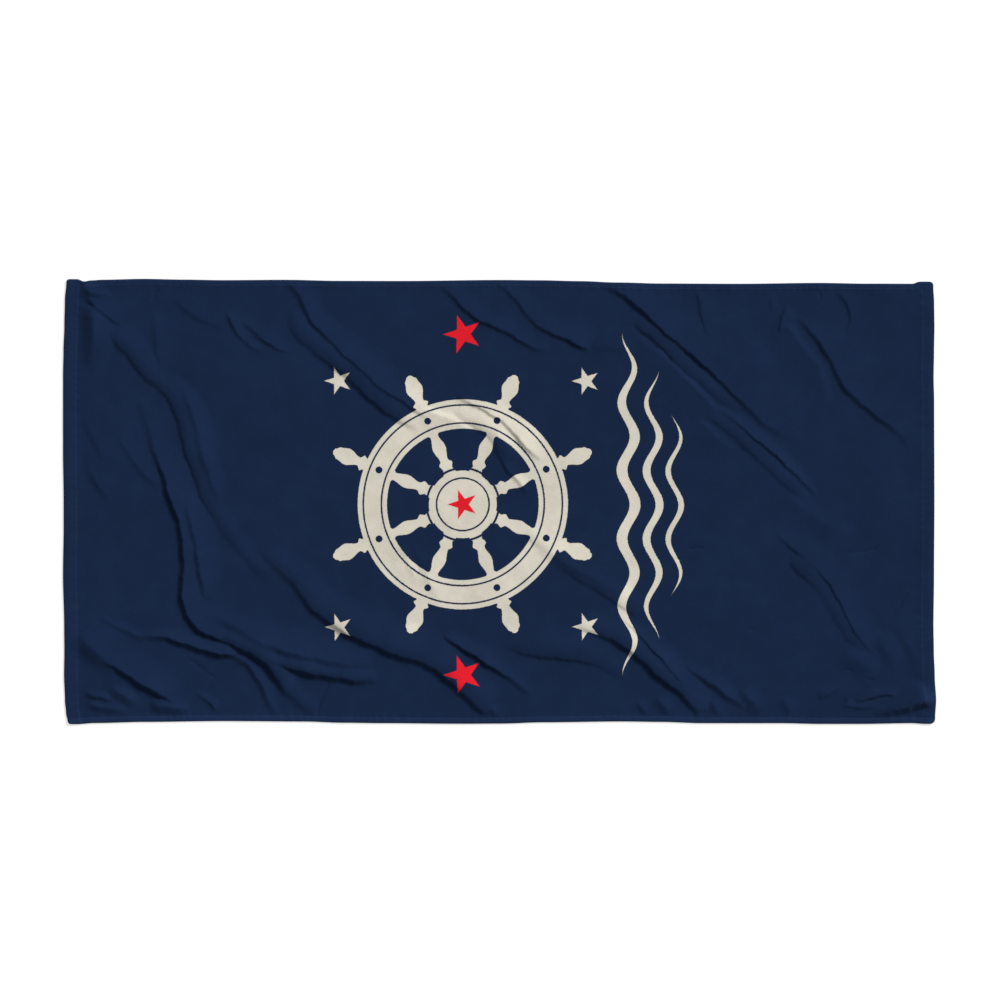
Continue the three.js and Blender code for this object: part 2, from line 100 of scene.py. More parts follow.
# The folds. A fold is a ridge with a steep side and a soft one, each as wide as its row says, and the
# soft side lies on the left of the line's way. The line follows the middle of the steep side and
# gives the ridge's height at each point, as X, Y, height. Past the crest a fold FALLS away at once,
# SINKS more slowly, or goes ON or CLIMBS a little first, which makes a shelf between two lines that
# run side by side.
Fold = namedtuple("Fold", "name steep soft past_crest line")
FALLS = 0.7
SINKS = 3
ON = 5
CLIMBS = 8
FOLDS = (
    Fold("top right, outer", 13, 70, FALLS,
         ((173, 364, 0), (192, 359, 2.8), (210, 351, 5.4), (248, 317, 8.4), (296, 272, 8.6),
          (337, 240, 8), (366, 212, 6.6), (405, 175, 4.6), (446, 135, 3.2), (481, 113, 1.7),
          (518, 89, 0))),
    Fold("top right, second", 10, 50, ON,
         ((224, 311, 0), (241, 293, 2.8), (258, 279, 3.9), (292, 245, 3.9), (303, 233, 2.8),
          (344, 199, 2), (381, 168, 1.7), (409, 147, 0))),
    Fold("top right, lit band", 14, 80, FALLS,
         ((385, 150, 0), (366, 166, 3.4), (344, 188, 4.8), (327, 205, 5), (310, 223, 4.6),
          (282, 248, 3), (234, 288, 1.4), (220, 300, 0))),
    Fold("top right, inner", 10, 20, FALLS,
         ((364, 164, 0), (385, 147, 3), (422, 117, 5), (467, 79, 5.4), (491, 57, 4.6), (508, 41, 3.6),
          (525, 22, 2.4), (545, 2, 0))),
    Fold("top right, innermost", 9, 40, ON,
         ((344, 156, 0), (364, 139, 2), (395, 113, 2.5), (433, 79, 2.4), (457, 55, 2.1),
          (484, 31, 2.1), (504, 12, 1.6), (525, -8, 0))),
    Fold("top right, lit band below it", 16, 60, FALLS,
         ((409, 79, 0), (388, 99, 2), (364, 121, 2.6), (347, 137, 2.2), (330, 152, 0))),
    Fold("top right, tail", 34, 30, FALLS,
         ((470, 16, 0), (498, -10, 2), (535, -37, 2.4), (569, -60, 1.8), (600, -75, 0))),
    Fold("top right, small at the hem", 8, 40, FALLS,
         ((335, 361, 0), (337, 349, 2.4), (342, 327, 2.4), (349, 296, 2), (359, 279, 1.6),
          (371, 270, 0))),
    Fold("right, upper", 12, 70, FALLS,
         ((504, 317, 0), (518, 300, 3.2), (542, 274, 4.7), (563, 240, 4.8), (583, 200, 5),
          (614, 166, 4.8), (655, 135, 4.2), (677, 117, 2.4), (696, 93, 1.2), (713, 65, 0))),
    Fold("right, lit band beside it", 16, 60, FALLS,
         ((573, 160, 0), (563, 182, 1.4), (552, 219, 2.2), (542, 240, 3), (515, 274, 3.4),
          (491, 305, 2.8), (477, 320, 0))),
    Fold("right, small above it", 8, 30, FALLS,
         ((496, 339, 0), (486, 323, 3), (479, 310, 3.8), (477, 294, 3.6), (477, 279, 0))),
    Fold("right, beside the small one", 6, 12, FALLS,
         ((472, 354, 0), (463, 342, 1), (462, 329, 0.8), (455, 318, 0))),
    Fold("right, small near the top hem", 8, 22, FALLS,
         ((573, 361, 0), (585, 346, 2.2), (595, 329, 2.5), (599, 311, 2.1), (593, 293, 1.2),
          (592, 279, 0))),
    Fold("right, soft one in the corner", 26, 60, FALLS,
         ((621, 364, 0), (648, 349, 1.6), (679, 342, 1.8), (706, 323, 0))),
    Fold("right, lower", 9, 44, FALLS,
         ((467, -54, 0), (484, -68, 1.8), (518, -97, 3.6), (552, -131, 4.2), (569, -152, 4.2),
          (587, -190, 4.4), (600, -215, 4.2), (624, -249, 3.4), (638, -265, 0))),
    Fold("right, lower, inner", 8, 60, CLIMBS,
         ((487, -99, 0), (501, -113, 2.4), (520, -130, 2.6), (535, -143, 1.4), (556, -172, 1.1),
          (576, -207, 1.5), (593, -237, 1.4), (614, -255, 1.6), (631, -265, 0))),
    Fold("right, small below", 22, 46, FALLS,
         ((638, -224, 0), (645, -239, 2), (655, -256, 2.6), (665, -275, 2.4), (670, -296, 0))),
    Fold("right, soft one beside the hem", 24, 60, FALLS,
         ((662, -203, 0), (686, -237, 2.4), (706, -278, 2.2), (716, -316, 0))),
    Fold("bottom right corner", 18, 44, FALLS,
         ((632, -366, 0), (656, -364, 4), (676, -360, 10), (694, -356, 15.5), (710, -351, 19.5),
          (722, -347, 20.5), (732, -344, 15), (740, -341, 7), (751, -338, 0))),
    Fold("bottom right, by the corner", 8, 16, FALLS,
         ((580, -350, 0), (595, -352, 2.4), (614, -354, 2.6), (638, -352, 1.4), (662, -349, 0))),
    Fold("bottom right, above the corner", 8, 20, FALLS,
         ((606, -350, 0), (620, -342, 3.6), (640, -334, 4.8), (660, -331, 3.6), (682, -334, 2),
          (700, -338, 0))),
    Fold("bottom right, soft hollow", 40, 40, FALLS,
         ((570, -258, 0), (596, -276, 4), (618, -291, 4), (638, -306, 0))),
    Fold("bottom, right of the middle", 14, 50, SINKS,
         ((125, -208, 0), (145, -219, 3.2), (173, -231, 5.6), (203, -244, 7), (231, -265, 8.4),
          (265, -296, 8.8), (299, -323, 8.6), (320, -343, 7), (335, -359, 4.4), (347, -371, 0))),
    Fold("bottom, right of the middle, outer", 10, 34, FALLS,
         ((202, -198, 0), (221, -215, 3.2), (241, -234, 6.6), (272, -268, 9.4), (289, -289, 9.4),
          (306, -306, 7.8), (323, -318, 0))),
    Fold("bottom right, short", 14, 24, FALLS,
         ((306, -273, 0), (327, -292, 3), (347, -306, 5), (368, -320, 5.4), (388, -335, 4.4),
          (405, -345, 2.8), (426, -361, 0))),
    Fold("bottom right, short at the hem", 26, 26, FALLS,
         ((402, -322, 0), (416, -337, 4), (428, -351, 5), (438, -366, 2), (442, -374, 0))),
    Fold("middle, lower right", 9, 40, ON,
         ((36, -54, 0), (50, -63, 1.4), (70, -80, 1.4), (97, -104, 1.9), (135, -135, 2.3),
          (173, -157, 2.6), (202, -176, 2.7), (221, -190, 2.4), (241, -207, 0))),
    Fold("middle, lower right, outer", 24, 50, FALLS,
         ((60, -64, 0), (81, -88, 3), (115, -115, 4.6), (143, -130, 4.8), (163, -139, 4.4),
          (190, -155, 0))),
    Fold("bottom, middle, flat", 11, 60, ON,
         ((2, -246, 0), (22, -255, 2), (43, -261, 3.8), (80, -267, 5), (115, -271, 5),
          (149, -275, 3.8), (173, -284, 2.4), (193, -294, 1.8), (221, -306, 0))),
    Fold("bottom, middle", 12, 28, FALLS,
         ((-101, -227, 0), (-84, -240, 5), (-63, -255, 8.4), (-36, -270, 8.6), (-12, -286, 7),
          (15, -304, 4.4), (39, -321, 2.4), (56, -335, 0))),
    Fold("long one to the bottom", 16, 64, SINKS,
         ((-426, -73, 0), (-402, -97, 1.6), (-374, -121, 3.2), (-354, -142, 5), (-323, -183, 6.8),
          (-286, -213, 8.4), (-238, -239, 10), (-186, -261, 10.6), (-149, -273, 10),
          (-111, -289, 9), (-74, -321, 9), (-50, -343, 7.4), (-31, -359, 5.8), (-17, -369, 0))),
    Fold("middle, upper, outer", 11, 34, FALLS,
         ((-80, 183, 0), (-63, 171, 3.6), (-39, 161, 4.4), (-15, 147, 5), (12, 126, 5.2),
          (39, 98, 5), (56, 79, 3.2), (77, 67, 0))),
    Fold("middle, upper, inner", 9, 44, CLIMBS,
         ((-84, 149, 0), (-60, 136, 1.8), (-36, 123, 2.6), (-15, 104, 3), (2, 72, 2.2), (12, 53, 0))),
    Fold("middle, upper, end", 9, 22, FALLS,
         ((-22, 107, 0), (-9, 93, 1.2), (2, 72, 2.8), (12, 53, 3.4), (26, 37, 3.2), (37, 25, 2.2),
          (50, 8, 0))),
    Fold("top, right of the middle", 10, 40, FALLS,
         ((-9, 368, 0), (12, 359, 2.4), (32, 337, 3.2), (50, 311, 3.4), (74, 293, 4), (104, 279, 5.4),
          (126, 268, 6.6), (140, 262, 5), (158, 256, 0))),
    Fold("top, soft one running on", 16, 40, FALLS,
         ((142, 267, 0), (173, 261, 1.6), (210, 257, 1.6), (248, 248, 0))),
    Fold("top, middle", 10, 34, FALLS,
         ((-101, 370, 0), (-87, 356, 3), (-67, 332, 4.6), (-43, 313, 5), (-9, 296, 4.9),
          (26, 279, 4.2), (53, 263, 3.2), (74, 257, 1.8), (94, 260, 0))),
    Fold("top left, outer", 14, 46, FALLS,
         ((-364, 375, 0), (-354, 363, 3.6), (-340, 341, 5), (-323, 306, 5.6), (-286, 266, 7),
          (-245, 228, 8.4), (-207, 193, 8.8), (-176, 173, 8.4), (-152, 157, 7.2), (-135, 147, 4.6),
          (-115, 139, 0))),
    Fold("top left, inner", 13, 60, ON,
         ((-361, 334, 0), (-357, 306, 2.6), (-352, 288, 3.2), (-330, 265, 3.4), (-303, 244, 4.2),
          (-265, 214, 5.2), (-231, 182, 5.8), (-200, 154, 5.8), (-180, 142, 4.8), (-156, 130, 3),
          (-132, 113, 0))),
    Fold("top left, lit band at its end", 14, 50, FALLS,
         ((-43, 118, 0), (-60, 134, 2.6), (-84, 145, 3.6), (-118, 156, 4), (-145, 170, 4),
          (-166, 183, 2.6), (-186, 197, 0))),
    Fold("top left, short", 9, 24, FALLS,
         ((-465, 327, 0), (-462, 313, 3.2), (-457, 298, 3.8), (-448, 284, 3), (-434, 270, 2),
          (-416, 259, 1.6), (-395, 252, 0))),
    Fold("top left, short, upper", 9, 30, FALLS,
         ((-446, 308, 0), (-429, 296, 2), (-412, 279, 3), (-395, 268, 3.4), (-374, 258, 2.2),
          (-351, 252, 0))),
    Fold("top left, faint streak", 12, 30, FALLS,
         ((-563, 351, 0), (-542, 330, 2), (-518, 313, 2), (-494, 301, 1.6), (-470, 289, 0))),
    Fold("top left, soft one down", 14, 30, FALLS,
         ((-595, 330, 0), (-592, 303, 2), (-588, 265, 2.2), (-585, 229, 2), (-580, 193, 0))),
    Fold("long one down the left", 11, 46, ON,
         ((-693, 306, 0), (-675, 289, 2), (-652, 264, 3.6), (-634, 246, 4), (-607, 212, 3.6),
          (-583, 192, 3.4), (-568, 178, 3.8), (-556, 154, 4.4), (-544, 113, 4.6), (-532, 69, 4.4),
          (-520, 36, 4), (-508, 4, 3.4), (-491, -24, 2.2), (-470, -56, 1.8), (-443, -89, 1.6),
          (-416, -121, 1.3), (-392, -147, 0))),
    Fold("left, upper, short", 26, 30, FALLS,
         ((-556, 200, 0), (-543, 176, 5), (-529, 140, 7.2), (-520, 101, 7.5), (-510, 64, 7.1),
          (-496, 21, 5.6), (-481, -10, 0))),
    Fold("left corner, upper", 13, 44, FALLS,
         ((-714, 354, 0), (-700, 338, 6), (-684, 323, 6.4), (-664, 309, 5), (-640, 291, 0))),
    Fold("left corner, hollow", 22, 20, FALLS,
         ((-726, 370, 0), (-708, 356, 6), (-690, 349, 6.4), (-674, 347, 4), (-658, 348, 0))),
    Fold("beside the left hem", 34, 50, FALLS,
         ((-704, 342, 0), (-704, 318, 9), (-703, 297, 12.6), (-704, 277, 11), (-705, 257, 6.4),
          (-706, 237, 2.4), (-707, 216, 0))),
    Fold("left, the highest", 14, 60, FALLS,
         ((-617, 180, 0), (-607, 139, 2), (-597, 103, 2.8), (-587, 72, 4.8), (-578, 48, 7.8),
          (-566, 9, 9.4), (-554, -24, 9.6), (-544, -66, 9.4), (-542, -104, 9.4), (-544, -152, 9.6),
          (-539, -188, 9.6), (-522, -215, 9.8), (-501, -228, 9.6), (-481, -237, 8.4),
          (-460, -246, 0))),
    Fold("left, right of the highest", 20, 40, FALLS,
         ((-550, 12, 0), (-540, -5, 4.4), (-534, -29, 7.6), (-527, -60, 9), (-520, -97, 9),
          (-515, -128, 8), (-511, -152, 6.2), (-507, -178, 0))),
    Fold("left, first faint one", 14, 44, FALLS,
         ((-716, 146, 0), (-703, 118, 2), (-689, 91, 2), (-675, 60, 0))),
    Fold("left, second faint one", 14, 44, FALLS,
         ((-713, 84, 0), (-699, 45, 2.2), (-682, 17, 2.6), (-665, -8, 0))),
    Fold("left, third faint one", 12, 40, FALLS,
         ((-655, 122, 0), (-641, 91, 1.8), (-617, 53, 2.4), (-593, 33, 1.8), (-580, 22, 0))),
    Fold("bottom left, broad", 32, 44, FALLS,
         ((-517, -183, 0), (-500, -200, 2.6), (-476, -213, 5), (-445, -230, 8), (-411, -249, 11.8),
          (-376, -262, 13.2), (-342, -271, 13.2), (-304, -280, 12.2), (-269, -286, 9.4),
          (-238, -287, 5), (-210, -283, 0))),
    Fold("bottom left, running in", 14, 24, FALLS,
         ((-689, -198, 0), (-672, -210, 1.4), (-641, -222, 2.4), (-614, -234, 3), (-590, -234, 4.4),
          (-569, -235, 7), (-545, -243, 9), (-518, -253, 10.2), (-491, -260, 10.6), (-463, -264, 9.6),
          (-443, -270, 0))),
    Fold("bottom left, running down", 17, 44, SINKS,
         ((-490, -230, 0), (-467, -243, 8), (-443, -255, 11.4), (-416, -267, 12.4), (-398, -283, 12.4),
          (-384, -303, 11), (-371, -321, 6.6), (-357, -334, 3.8), (-340, -350, 3.6), (-327, -361, 3.4),
          (-313, -369, 0))),
    Fold("bottom left, fork", 14, 18, FALLS,
         ((-467, -258, 0), (-450, -268, 3), (-429, -284, 5), (-416, -306, 5.2), (-405, -323, 4.6),
          (-397, -343, 3.4), (-383, -367, 0))),
    Fold("bottom left, running right", 15, 38, SINKS,
         ((-402, -266, 0), (-388, -277, 9), (-366, -286, 13), (-330, -294, 12.6), (-296, -301, 11.4),
          (-265, -306, 10), (-238, -309, 7), (-217, -308, 3.6), (-200, -305, 0))),
    Fold("bottom left corner", 15, 50, FALLS,
         ((-692, -266, 0), (-674, -277, 6), (-650, -291, 9.6), (-628, -305, 11), (-600, -321, 11.4),
          (-580, -333, 10.6), (-566, -343, 6), (-552, -354, 3), (-535, -366, 0))),
    Fold("bottom left, patch at the hem", 22, 22, FALLS,
         ((-604, -346, 0), (-582, -355, 7), (-554, -359, 7), (-526, -364, 0))),
    Fold("bottom left, dot at the hem", 9, 14, FALLS,
         ((-522, -323, 0), (-504, -338, 2.2), (-491, -352, 3.6), (-482, -364, 0))),
    Fold("bottom left, first crumple", 14, 14, FALLS,
         ((-710, -323, 0), (-696, -335, 5), (-675, -340, 4.6), (-662, -350, 0))),
    Fold("bottom left, second crumple", 22, 16, FALLS,
         ((-672, -318, 0), (-654, -332, 5), (-636, -342, 5.4), (-616, -353, 0))),
    Fold("bottom left, third crumple", 16, 14, FALLS,
         ((-712, -345, 0), (-690, -353, 4.4), (-662, -358, 4), (-634, -362, 0))),
    Fold("middle, first faint one", 10, 20, FALLS,
         ((-176, -63, 0), (-166, -87, 1.3), (-154, -118, 1.2), (-142, -145, 0))),
    Fold("middle, second faint one", 12, 26, FALLS,
         ((-156, -66, 0), (-145, -94, 1.2), (-130, -121, 1.4), (-116, -152, 1.1), (-101, -190, 0))),
    Fold("bottom right, small", 9, 22, FALLS,
         ((541, -340, 0), (552, -335, 3), (566, -330, 3.6), (580, -319, 2.4), (592, -308, 1),
          (602, -296, 0))),
    Fold("bottom right, small beside it", 8, 14, FALLS,
         ((592, -352, 0), (598, -341, 2.6), (606, -331, 2.4), (624, -318, 0))),
    Fold("bottom, patch at the hem", 18, 22, FALLS,
         ((-42, -352, 0), (-28, -358, 4), (-12, -362, 4), (4, -366, 0))),
    Fold("bottom left corner, soft start", 36, 60, FALLS,
         ((-732, -228, 0), (-714, -248, 8), (-694, -266, 9.4), (-674, -282, 7), (-652, -298, 0))),
    Fold("bottom right, first patch at the hem", 18, 22, FALLS,
         ((260, -334, 0), (268, -345, 3.8), (279, -356, 4), (290, -369, 0))),
    Fold("bottom right, second patch at the hem", 12, 16, FALLS,
         ((229, -342, 0), (236, -351, 2.8), (245, -360, 2.8), (253, -370, 0))),
    Fold("bottom right, third patch at the hem", 18, 20, FALLS,
         ((354, -338, 0), (360, -349, 3.2), (366, -360, 3.2), (371, -371, 0))),
    Fold("bottom right, fourth patch at the hem", 18, 20, FALLS,
         ((474, -336, 0), (482, -347, 2.8), (490, -358, 2.8), (497, -370, 0))),
)
STEPS_PER_SPAN = 8  # a fold's line is a smooth curve, followed in this many steps a span
CREST_BLEND = 4  # the higher, the less crossing folds build up on each other
SOFT_FOOT = 1.6  # over 1, the steep side is steepest by the crest and ends in a soft foot
CREST_PLACE = 0.35  # from the line to the crest, as a share of the steep side

# How unevenly a fold runs. Columns: length of a wave along it, how far the wave moves the steep side
# to and fro, and the share by which it changes the height. Each fold's waves start where it lies.
WAVERS = ((83, 0.8, 0.06), (37, 0.6, 0.02), (17, 0.35, 0), (9.7, 0.15, 0))
NARROWS_TO = 0.4  # at a fold's ends, the soft side is this share as wide as where the fold is highest
END_RUN = 12  # a fold rises over this length at each end
STRAIGHTENS = 14  # the soft side loses these waves within this distance of the crest

# Thin creases pressed into the pile, where no side of a ridge shows. Their lines are X, Y.
Crease = namedtuple("Crease", "name width depth line")
CREASES = (
    Crease("top left, mark at the hem", 12, 1.7, ((-581, 368), (-588, 355), (-600, 342))),
    Crease("top left, dent at the hem", 14, 0.9, ((-497, 360), (-486, 344))),
    Crease("right, dent at the hem", 6, 1.1, ((547, 362), (547, 345))),
    Crease("right, short", 8, 0.9, ((587, -87), (600, -88), (622, -85), (648, -80))),
    Crease("right, thin by the hem", 8, 0.9,
           ((706, -140), (693, -159), (682, -183), (665, -203), (648, -220))),
    Crease("bottom right, mark", 8, 1.4, ((624, -306), (643, -304))),
    Crease("bottom right corner", 10, 1.3, ((574, -300), (590, -288), (606, -292))),
    Crease("right of the middle, first", 8, 1, ((318, -80), (353, -80))),
    Crease("right of the middle, second", 8, 1, ((290, -102), (318, -96))),
    Crease("right of the middle, dot", 9, 1.2, ((422, -219), (438, -219))),
    Crease("bottom, blob at the hem", 12, 1.6, ((335, -366), (342, -362), (354, -357))),
    Crease("bottom left, joining two", 8, 1.2, ((-289, -306), (-298, -323), (-306, -340), (-313, -367))),
    Crease("bottom left, thin", 9, 0.9, ((-535, -268), (-518, -278), (-501, -292), (-481, -306))),
)
CREASE_WANDER = 0.5  # a crease wanders by this much to either side of its line,
CREASE_RUN = 3  # and is back after 2 pi times this length

# Broad low swells, where the cloth stands off the surface. The reach is half the swell's size,
# along its own long way and across it, and the turn is that way's angle from X in degrees.
Swell = namedtuple("Swell", "name x y along across turn height")
SWELLS = (
    Swell("left end", -650, 60, 150, 60, 100, 3),
    Swell("top left", -450, 200, 150, 80, -50, 3),
    Swell("top right", 420, 235, 170, 55, -50, 4),
    Swell("right end", 655, -20, 150, 50, 95, 3),
    Swell("bottom right", 420, -200, 130, 70, -30, 2.5),
)

# The pile's own unevenness: this many waves, whose lengths lie between these two.
PILE_WAVES = 24
PILE_WAVE_LENGTHS = (30, 110)

# The ripples that the stitches draw into the cloth. They drift along the hem, and swell and fade.
# Columns of a drift and of the swelling: size, run (it is back after 2 pi times this), start.
PUCKER_LENGTH = 15
PUCKER_REACH = 7  # how far to either side of the stitches
PUCKER_DRIFTS = ((3, 41, 0), (2, 17, 1))
PUCKER_SWELLING = (0.4, 29, 2)

# How a sewn hem rises from its outer edge and slopes down past its row of stitches. Columns: place
# across the hem as a share of its width, rise as a share of the hem's full rise.
STITCH_PLACE = 0.93
HEM_SHAPE = (
    (0, 0.9), (0.25, 1), (0.4, 0.95), (0.55, 0.83), (0.7, 0.66), (0.82, 0.52), (STITCH_PLACE, 0.38),
    (1.05, 0.26), (1.2, 0.13), (1.35, 0.04), (1.5, 0),
)

# The outer edge is round above and below. Its facets' rows are this far from it, out to the radius.
EDGE_STEPS = (0, 0.2, 0.8, 1.6, 2.6)
UNDER_STEPS = (0, 0.5, 1.6)
EDGE_ROUND = EDGE_STEPS[-1]
UNDER_ROUND = UNDER_STEPS[-1]

FIELD_CELL = 12  # the cells of the field between the hems, before any is split
SHORTEST_SPLIT = 2.6  # an edge shorter than this isn't split, away from the field's outline
OUTLINE_STEP = 3  # the facets' edges along the outline, a whole part of the cell
OUTLINE_LONGEST = 1.5 * OUTLINE_STEP  # an edge on the outline that is longer is always split
OUTLINE_SHORTEST_SPLIT = 1.1 * OUTLINE_STEP
BY_OUTLINE = 2 * OUTLINE_STEP  # facets that come nearer to the outline than this keep to its step

# Where on a facet its distance from the true surface is measured, as shares of its three corners.
MEASURED_AT = ((0, 0.5, 0.5), (0.5, 0.5, 0), (0.5, 0, 0.5), (0.34, 0.33, 0.33))

# The map for baked looks has the face in its upper part, the back in the lower one, and the rim
# between them. The face and the back stay off the map's sides by the margin.
MAP_MARGIN = 0.004
FACE_PART = (0.506, 0.996)
RIM_PART = (0.486, 0.498)
BACK_PART = (0.004, 0.478)

# A row of stitches ends this far from the cloth's corner. Its line has a point at each step, and the
# cloth's slope there is measured over the reach to either side.
ROW_END = 4
ROW_STEP = 2
SLOPE_REACH = 1


def smooth(value, low, high):
    """An eased step from 0 at low to 1 at high."""
    t = np.clip((value - low) / (high - low), 0, 1)
    return t * t * (3 - 2 * t)


def drawn_in(edge, place):
    """How far an edge is drawn in at places along it, eased from row to row of its table."""
    at, depth = np.array(edge, float).T
    after = np.clip(np.searchsorted(at, place, "right"), 1, len(at) - 1)
    share = smooth(place, at[after - 1], at[after])
    return depth[after - 1] + (depth[after] - depth[after - 1]) * share


def round_corner(u, v):
    """Points of the plain rectangle, moved in where they are closer to a corner than its radius."""
    corner = CORNER_RADIUS
    top = np.where(u > 0, corner.top_right, corner.top_left)
    bottom = np.where(u > 0, corner.bottom_right, corner.bottom_left)
    radius = np.where(v > 0, top, bottom)
    a = abs(u) - (LENGTH / 2 - radius)
    b = abs(v) - (WIDTH / 2 - radius)
    in_corner = (a > 0) & (b > 0)
    from_centre = np.where(in_corner, np.hypot(a, b), 1)
    pull = np.where(in_corner, 1 - np.maximum(a, b) / from_centre, 0)
    return u - np.sign(u) * a * pull, v - np.sign(v) * b * pull


def plan_position(u, v):
    """Where points of the plain rectangle lie once the edges have their true, uneven lines."""
    round_u, round_v = round_corner(u, v)
    from_left = u / LENGTH + 0.5
    from_bottom = v / WIDTH + 0.5
    left, right = drawn_in(LEFT_EDGE, v), -drawn_in(RIGHT_EDGE, v)
    bottom, top = drawn_in(BOTTOM_EDGE, u), -drawn_in(TOP_EDGE, u)
    return (
        round_u + left + (right - left) * from_left,
        round_v + bottom + (top - bottom) * from_bottom,
    )


def smooth_line(points):
    """A smooth curve through the points of a fold or a crease, as short straight steps."""
    p = np.array(points, float)
    p = np.vstack([2 * p[0] - p[1], p, 2 * p[-1] - p[-2]])
    t = np.linspace(0, 1, STEPS_PER_SPAN, endpoint=False)[:, None]
    spans = [
        b + ((c - a) * t + (2 * a - 5 * b + 4 * c - d) * t**2 + (3 * (b - c) + d - a) * t**3) / 2
        for a, b, c, d in zip(p, p[1:], p[2:], p[3:])
    ]
    return np.vstack([*spans, p[-2]])


FOLD_LINES = [smooth_line(fold.line) for fold in FOLDS]
CREASE_LINES = [smooth_line(crease.line) for crease in CREASES]


def along_line(line, reach, x, y):
    """Which of the points are within reach of a line, and for those how far they are along it from
    its start and from its end, how far across to its left, and the line's further columns there."""
    low, high = line[:, :2].min(0) - reach, line[:, :2].max(0) + reach
    near = np.flatnonzero((x > low[0]) & (x < high[0]) & (y > low[1]) & (y < high[1]))
    start, run = line[:-1], np.diff(line, axis=0)
    length = np.hypot(run[:, 0], run[:, 1])
    off_x = x[near, None] - start[:, 0]
    off_y = y[near, None] - start[:, 1]
    share = np.clip((off_x * run[:, 0] + off_y * run[:, 1]) / length**2, 0, 1)
    distance = np.hypot(off_x - share * run[:, 0], off_y - share * run[:, 1])
    best = distance.argmin(1)
    row = np.arange(len(near))
    share = share[row, best]
    side = np.sign(run[best, 0] * off_y[row, best] - run[best, 1] * off_x[row, best])
    from_start = np.concatenate([[0], length.cumsum()])[best] + share * length[best]
    carried = start[best, 2:] + share[:, None] * run[best, 2:]
    return near, from_start, length.sum() - from_start, side * distance[row, best], carried


def fold_height(fold, line, x, y):
    """The height that one fold gives the cloth at points."""
    height = np.zeros(len(x))
    near, along, to_end, across, carried = along_line(line, fold.steep + fold.soft, x, y)
    crest = np.maximum(carried[:, 0], 0) * smooth(along, 0, END_RUN) * smooth(to_end, 0, END_RUN)
    crest_place = CREST_PLACE * fold.steep
    by_the_line = 1 - smooth(across, crest_place, crest_place + STRAIGHTENS)
    for wave, sideways, higher in WAVERS:
        swing = np.sin(2 * math.pi * along / wave + line[0, 0] + wave)
        across = across + sideways * swing * by_the_line
        crest = crest * (1 + higher * swing)
    climb = smooth(across, crest_place - fold.steep, crest_place) ** SOFT_FOOT
    of_highest = np.clip(carried[:, 0] / line[:, 2].max(), 0, 1)
    soft = fold.soft * (NARROWS_TO + (1 - NARROWS_TO) * of_highest)
    t = np.clip((across - crest_place) / soft, 0, 1)
    fall = (1 - t) ** 2 * (1 + fold.past_crest * t)
    height[near] = crest * climb * fall
    return height


def crease_depth(crease, line, x, y):
    """How deep one thin crease is pressed into the pile at points."""
    depth = np.zeros(len(x))
    near, along, to_end, across, _ = along_line(line, crease.width, x, y)
    across = across + CREASE_WANDER * np.sin(along / CREASE_RUN + line[0, 0])
    fades = smooth(along, 0, crease.width) * smooth(to_end, 0, crease.width)
    depth[near] = crease.depth * fades * smooth(crease.width / 2 - abs(across), 0, crease.width / 2)
    return depth


def swell_height(swell, x, y):
    """The height that one broad swell gives the cloth at points."""
    cos, sin = math.cos(math.radians(swell.turn)), math.sin(math.radians(swell.turn))
    a = ((x - swell.x) * cos + (y - swell.y) * sin) / swell.along
    b = ((y - swell.y) * cos - (x - swell.x) * sin) / swell.across
    return swell.height * np.maximum(1 - a * a - b * b, 0) ** 2


def lift(x, y):
    """How far the cloth's underside stands off the surface that it lies on."""
    swells = sum(swell_height(swell, x, y) for swell in SWELLS)
    folds = sum(fold_height(*pair, x, y) ** CREST_BLEND for pair in zip(FOLDS, FOLD_LINES))
    return swells + folds ** (1 / CREST_BLEND)


def pressed(x, y):
    """How deep the thin creases are pressed into the pile at points."""
    depths = (crease_depth(*pair, x, y) for pair in zip(CREASES, CREASE_LINES))
    return np.max(list(depths), axis=0)


def edge_drop(u, v, radius):
    """How far the outer edge's round takes a surface back at points."""
    from_edge = np.minimum(LENGTH / 2 - abs(u), WIDTH / 2 - abs(v))
    inset = np.clip(1 - from_edge / radius, 0, 1)
    return radius * (1 - np.sqrt(1 - inset**2))


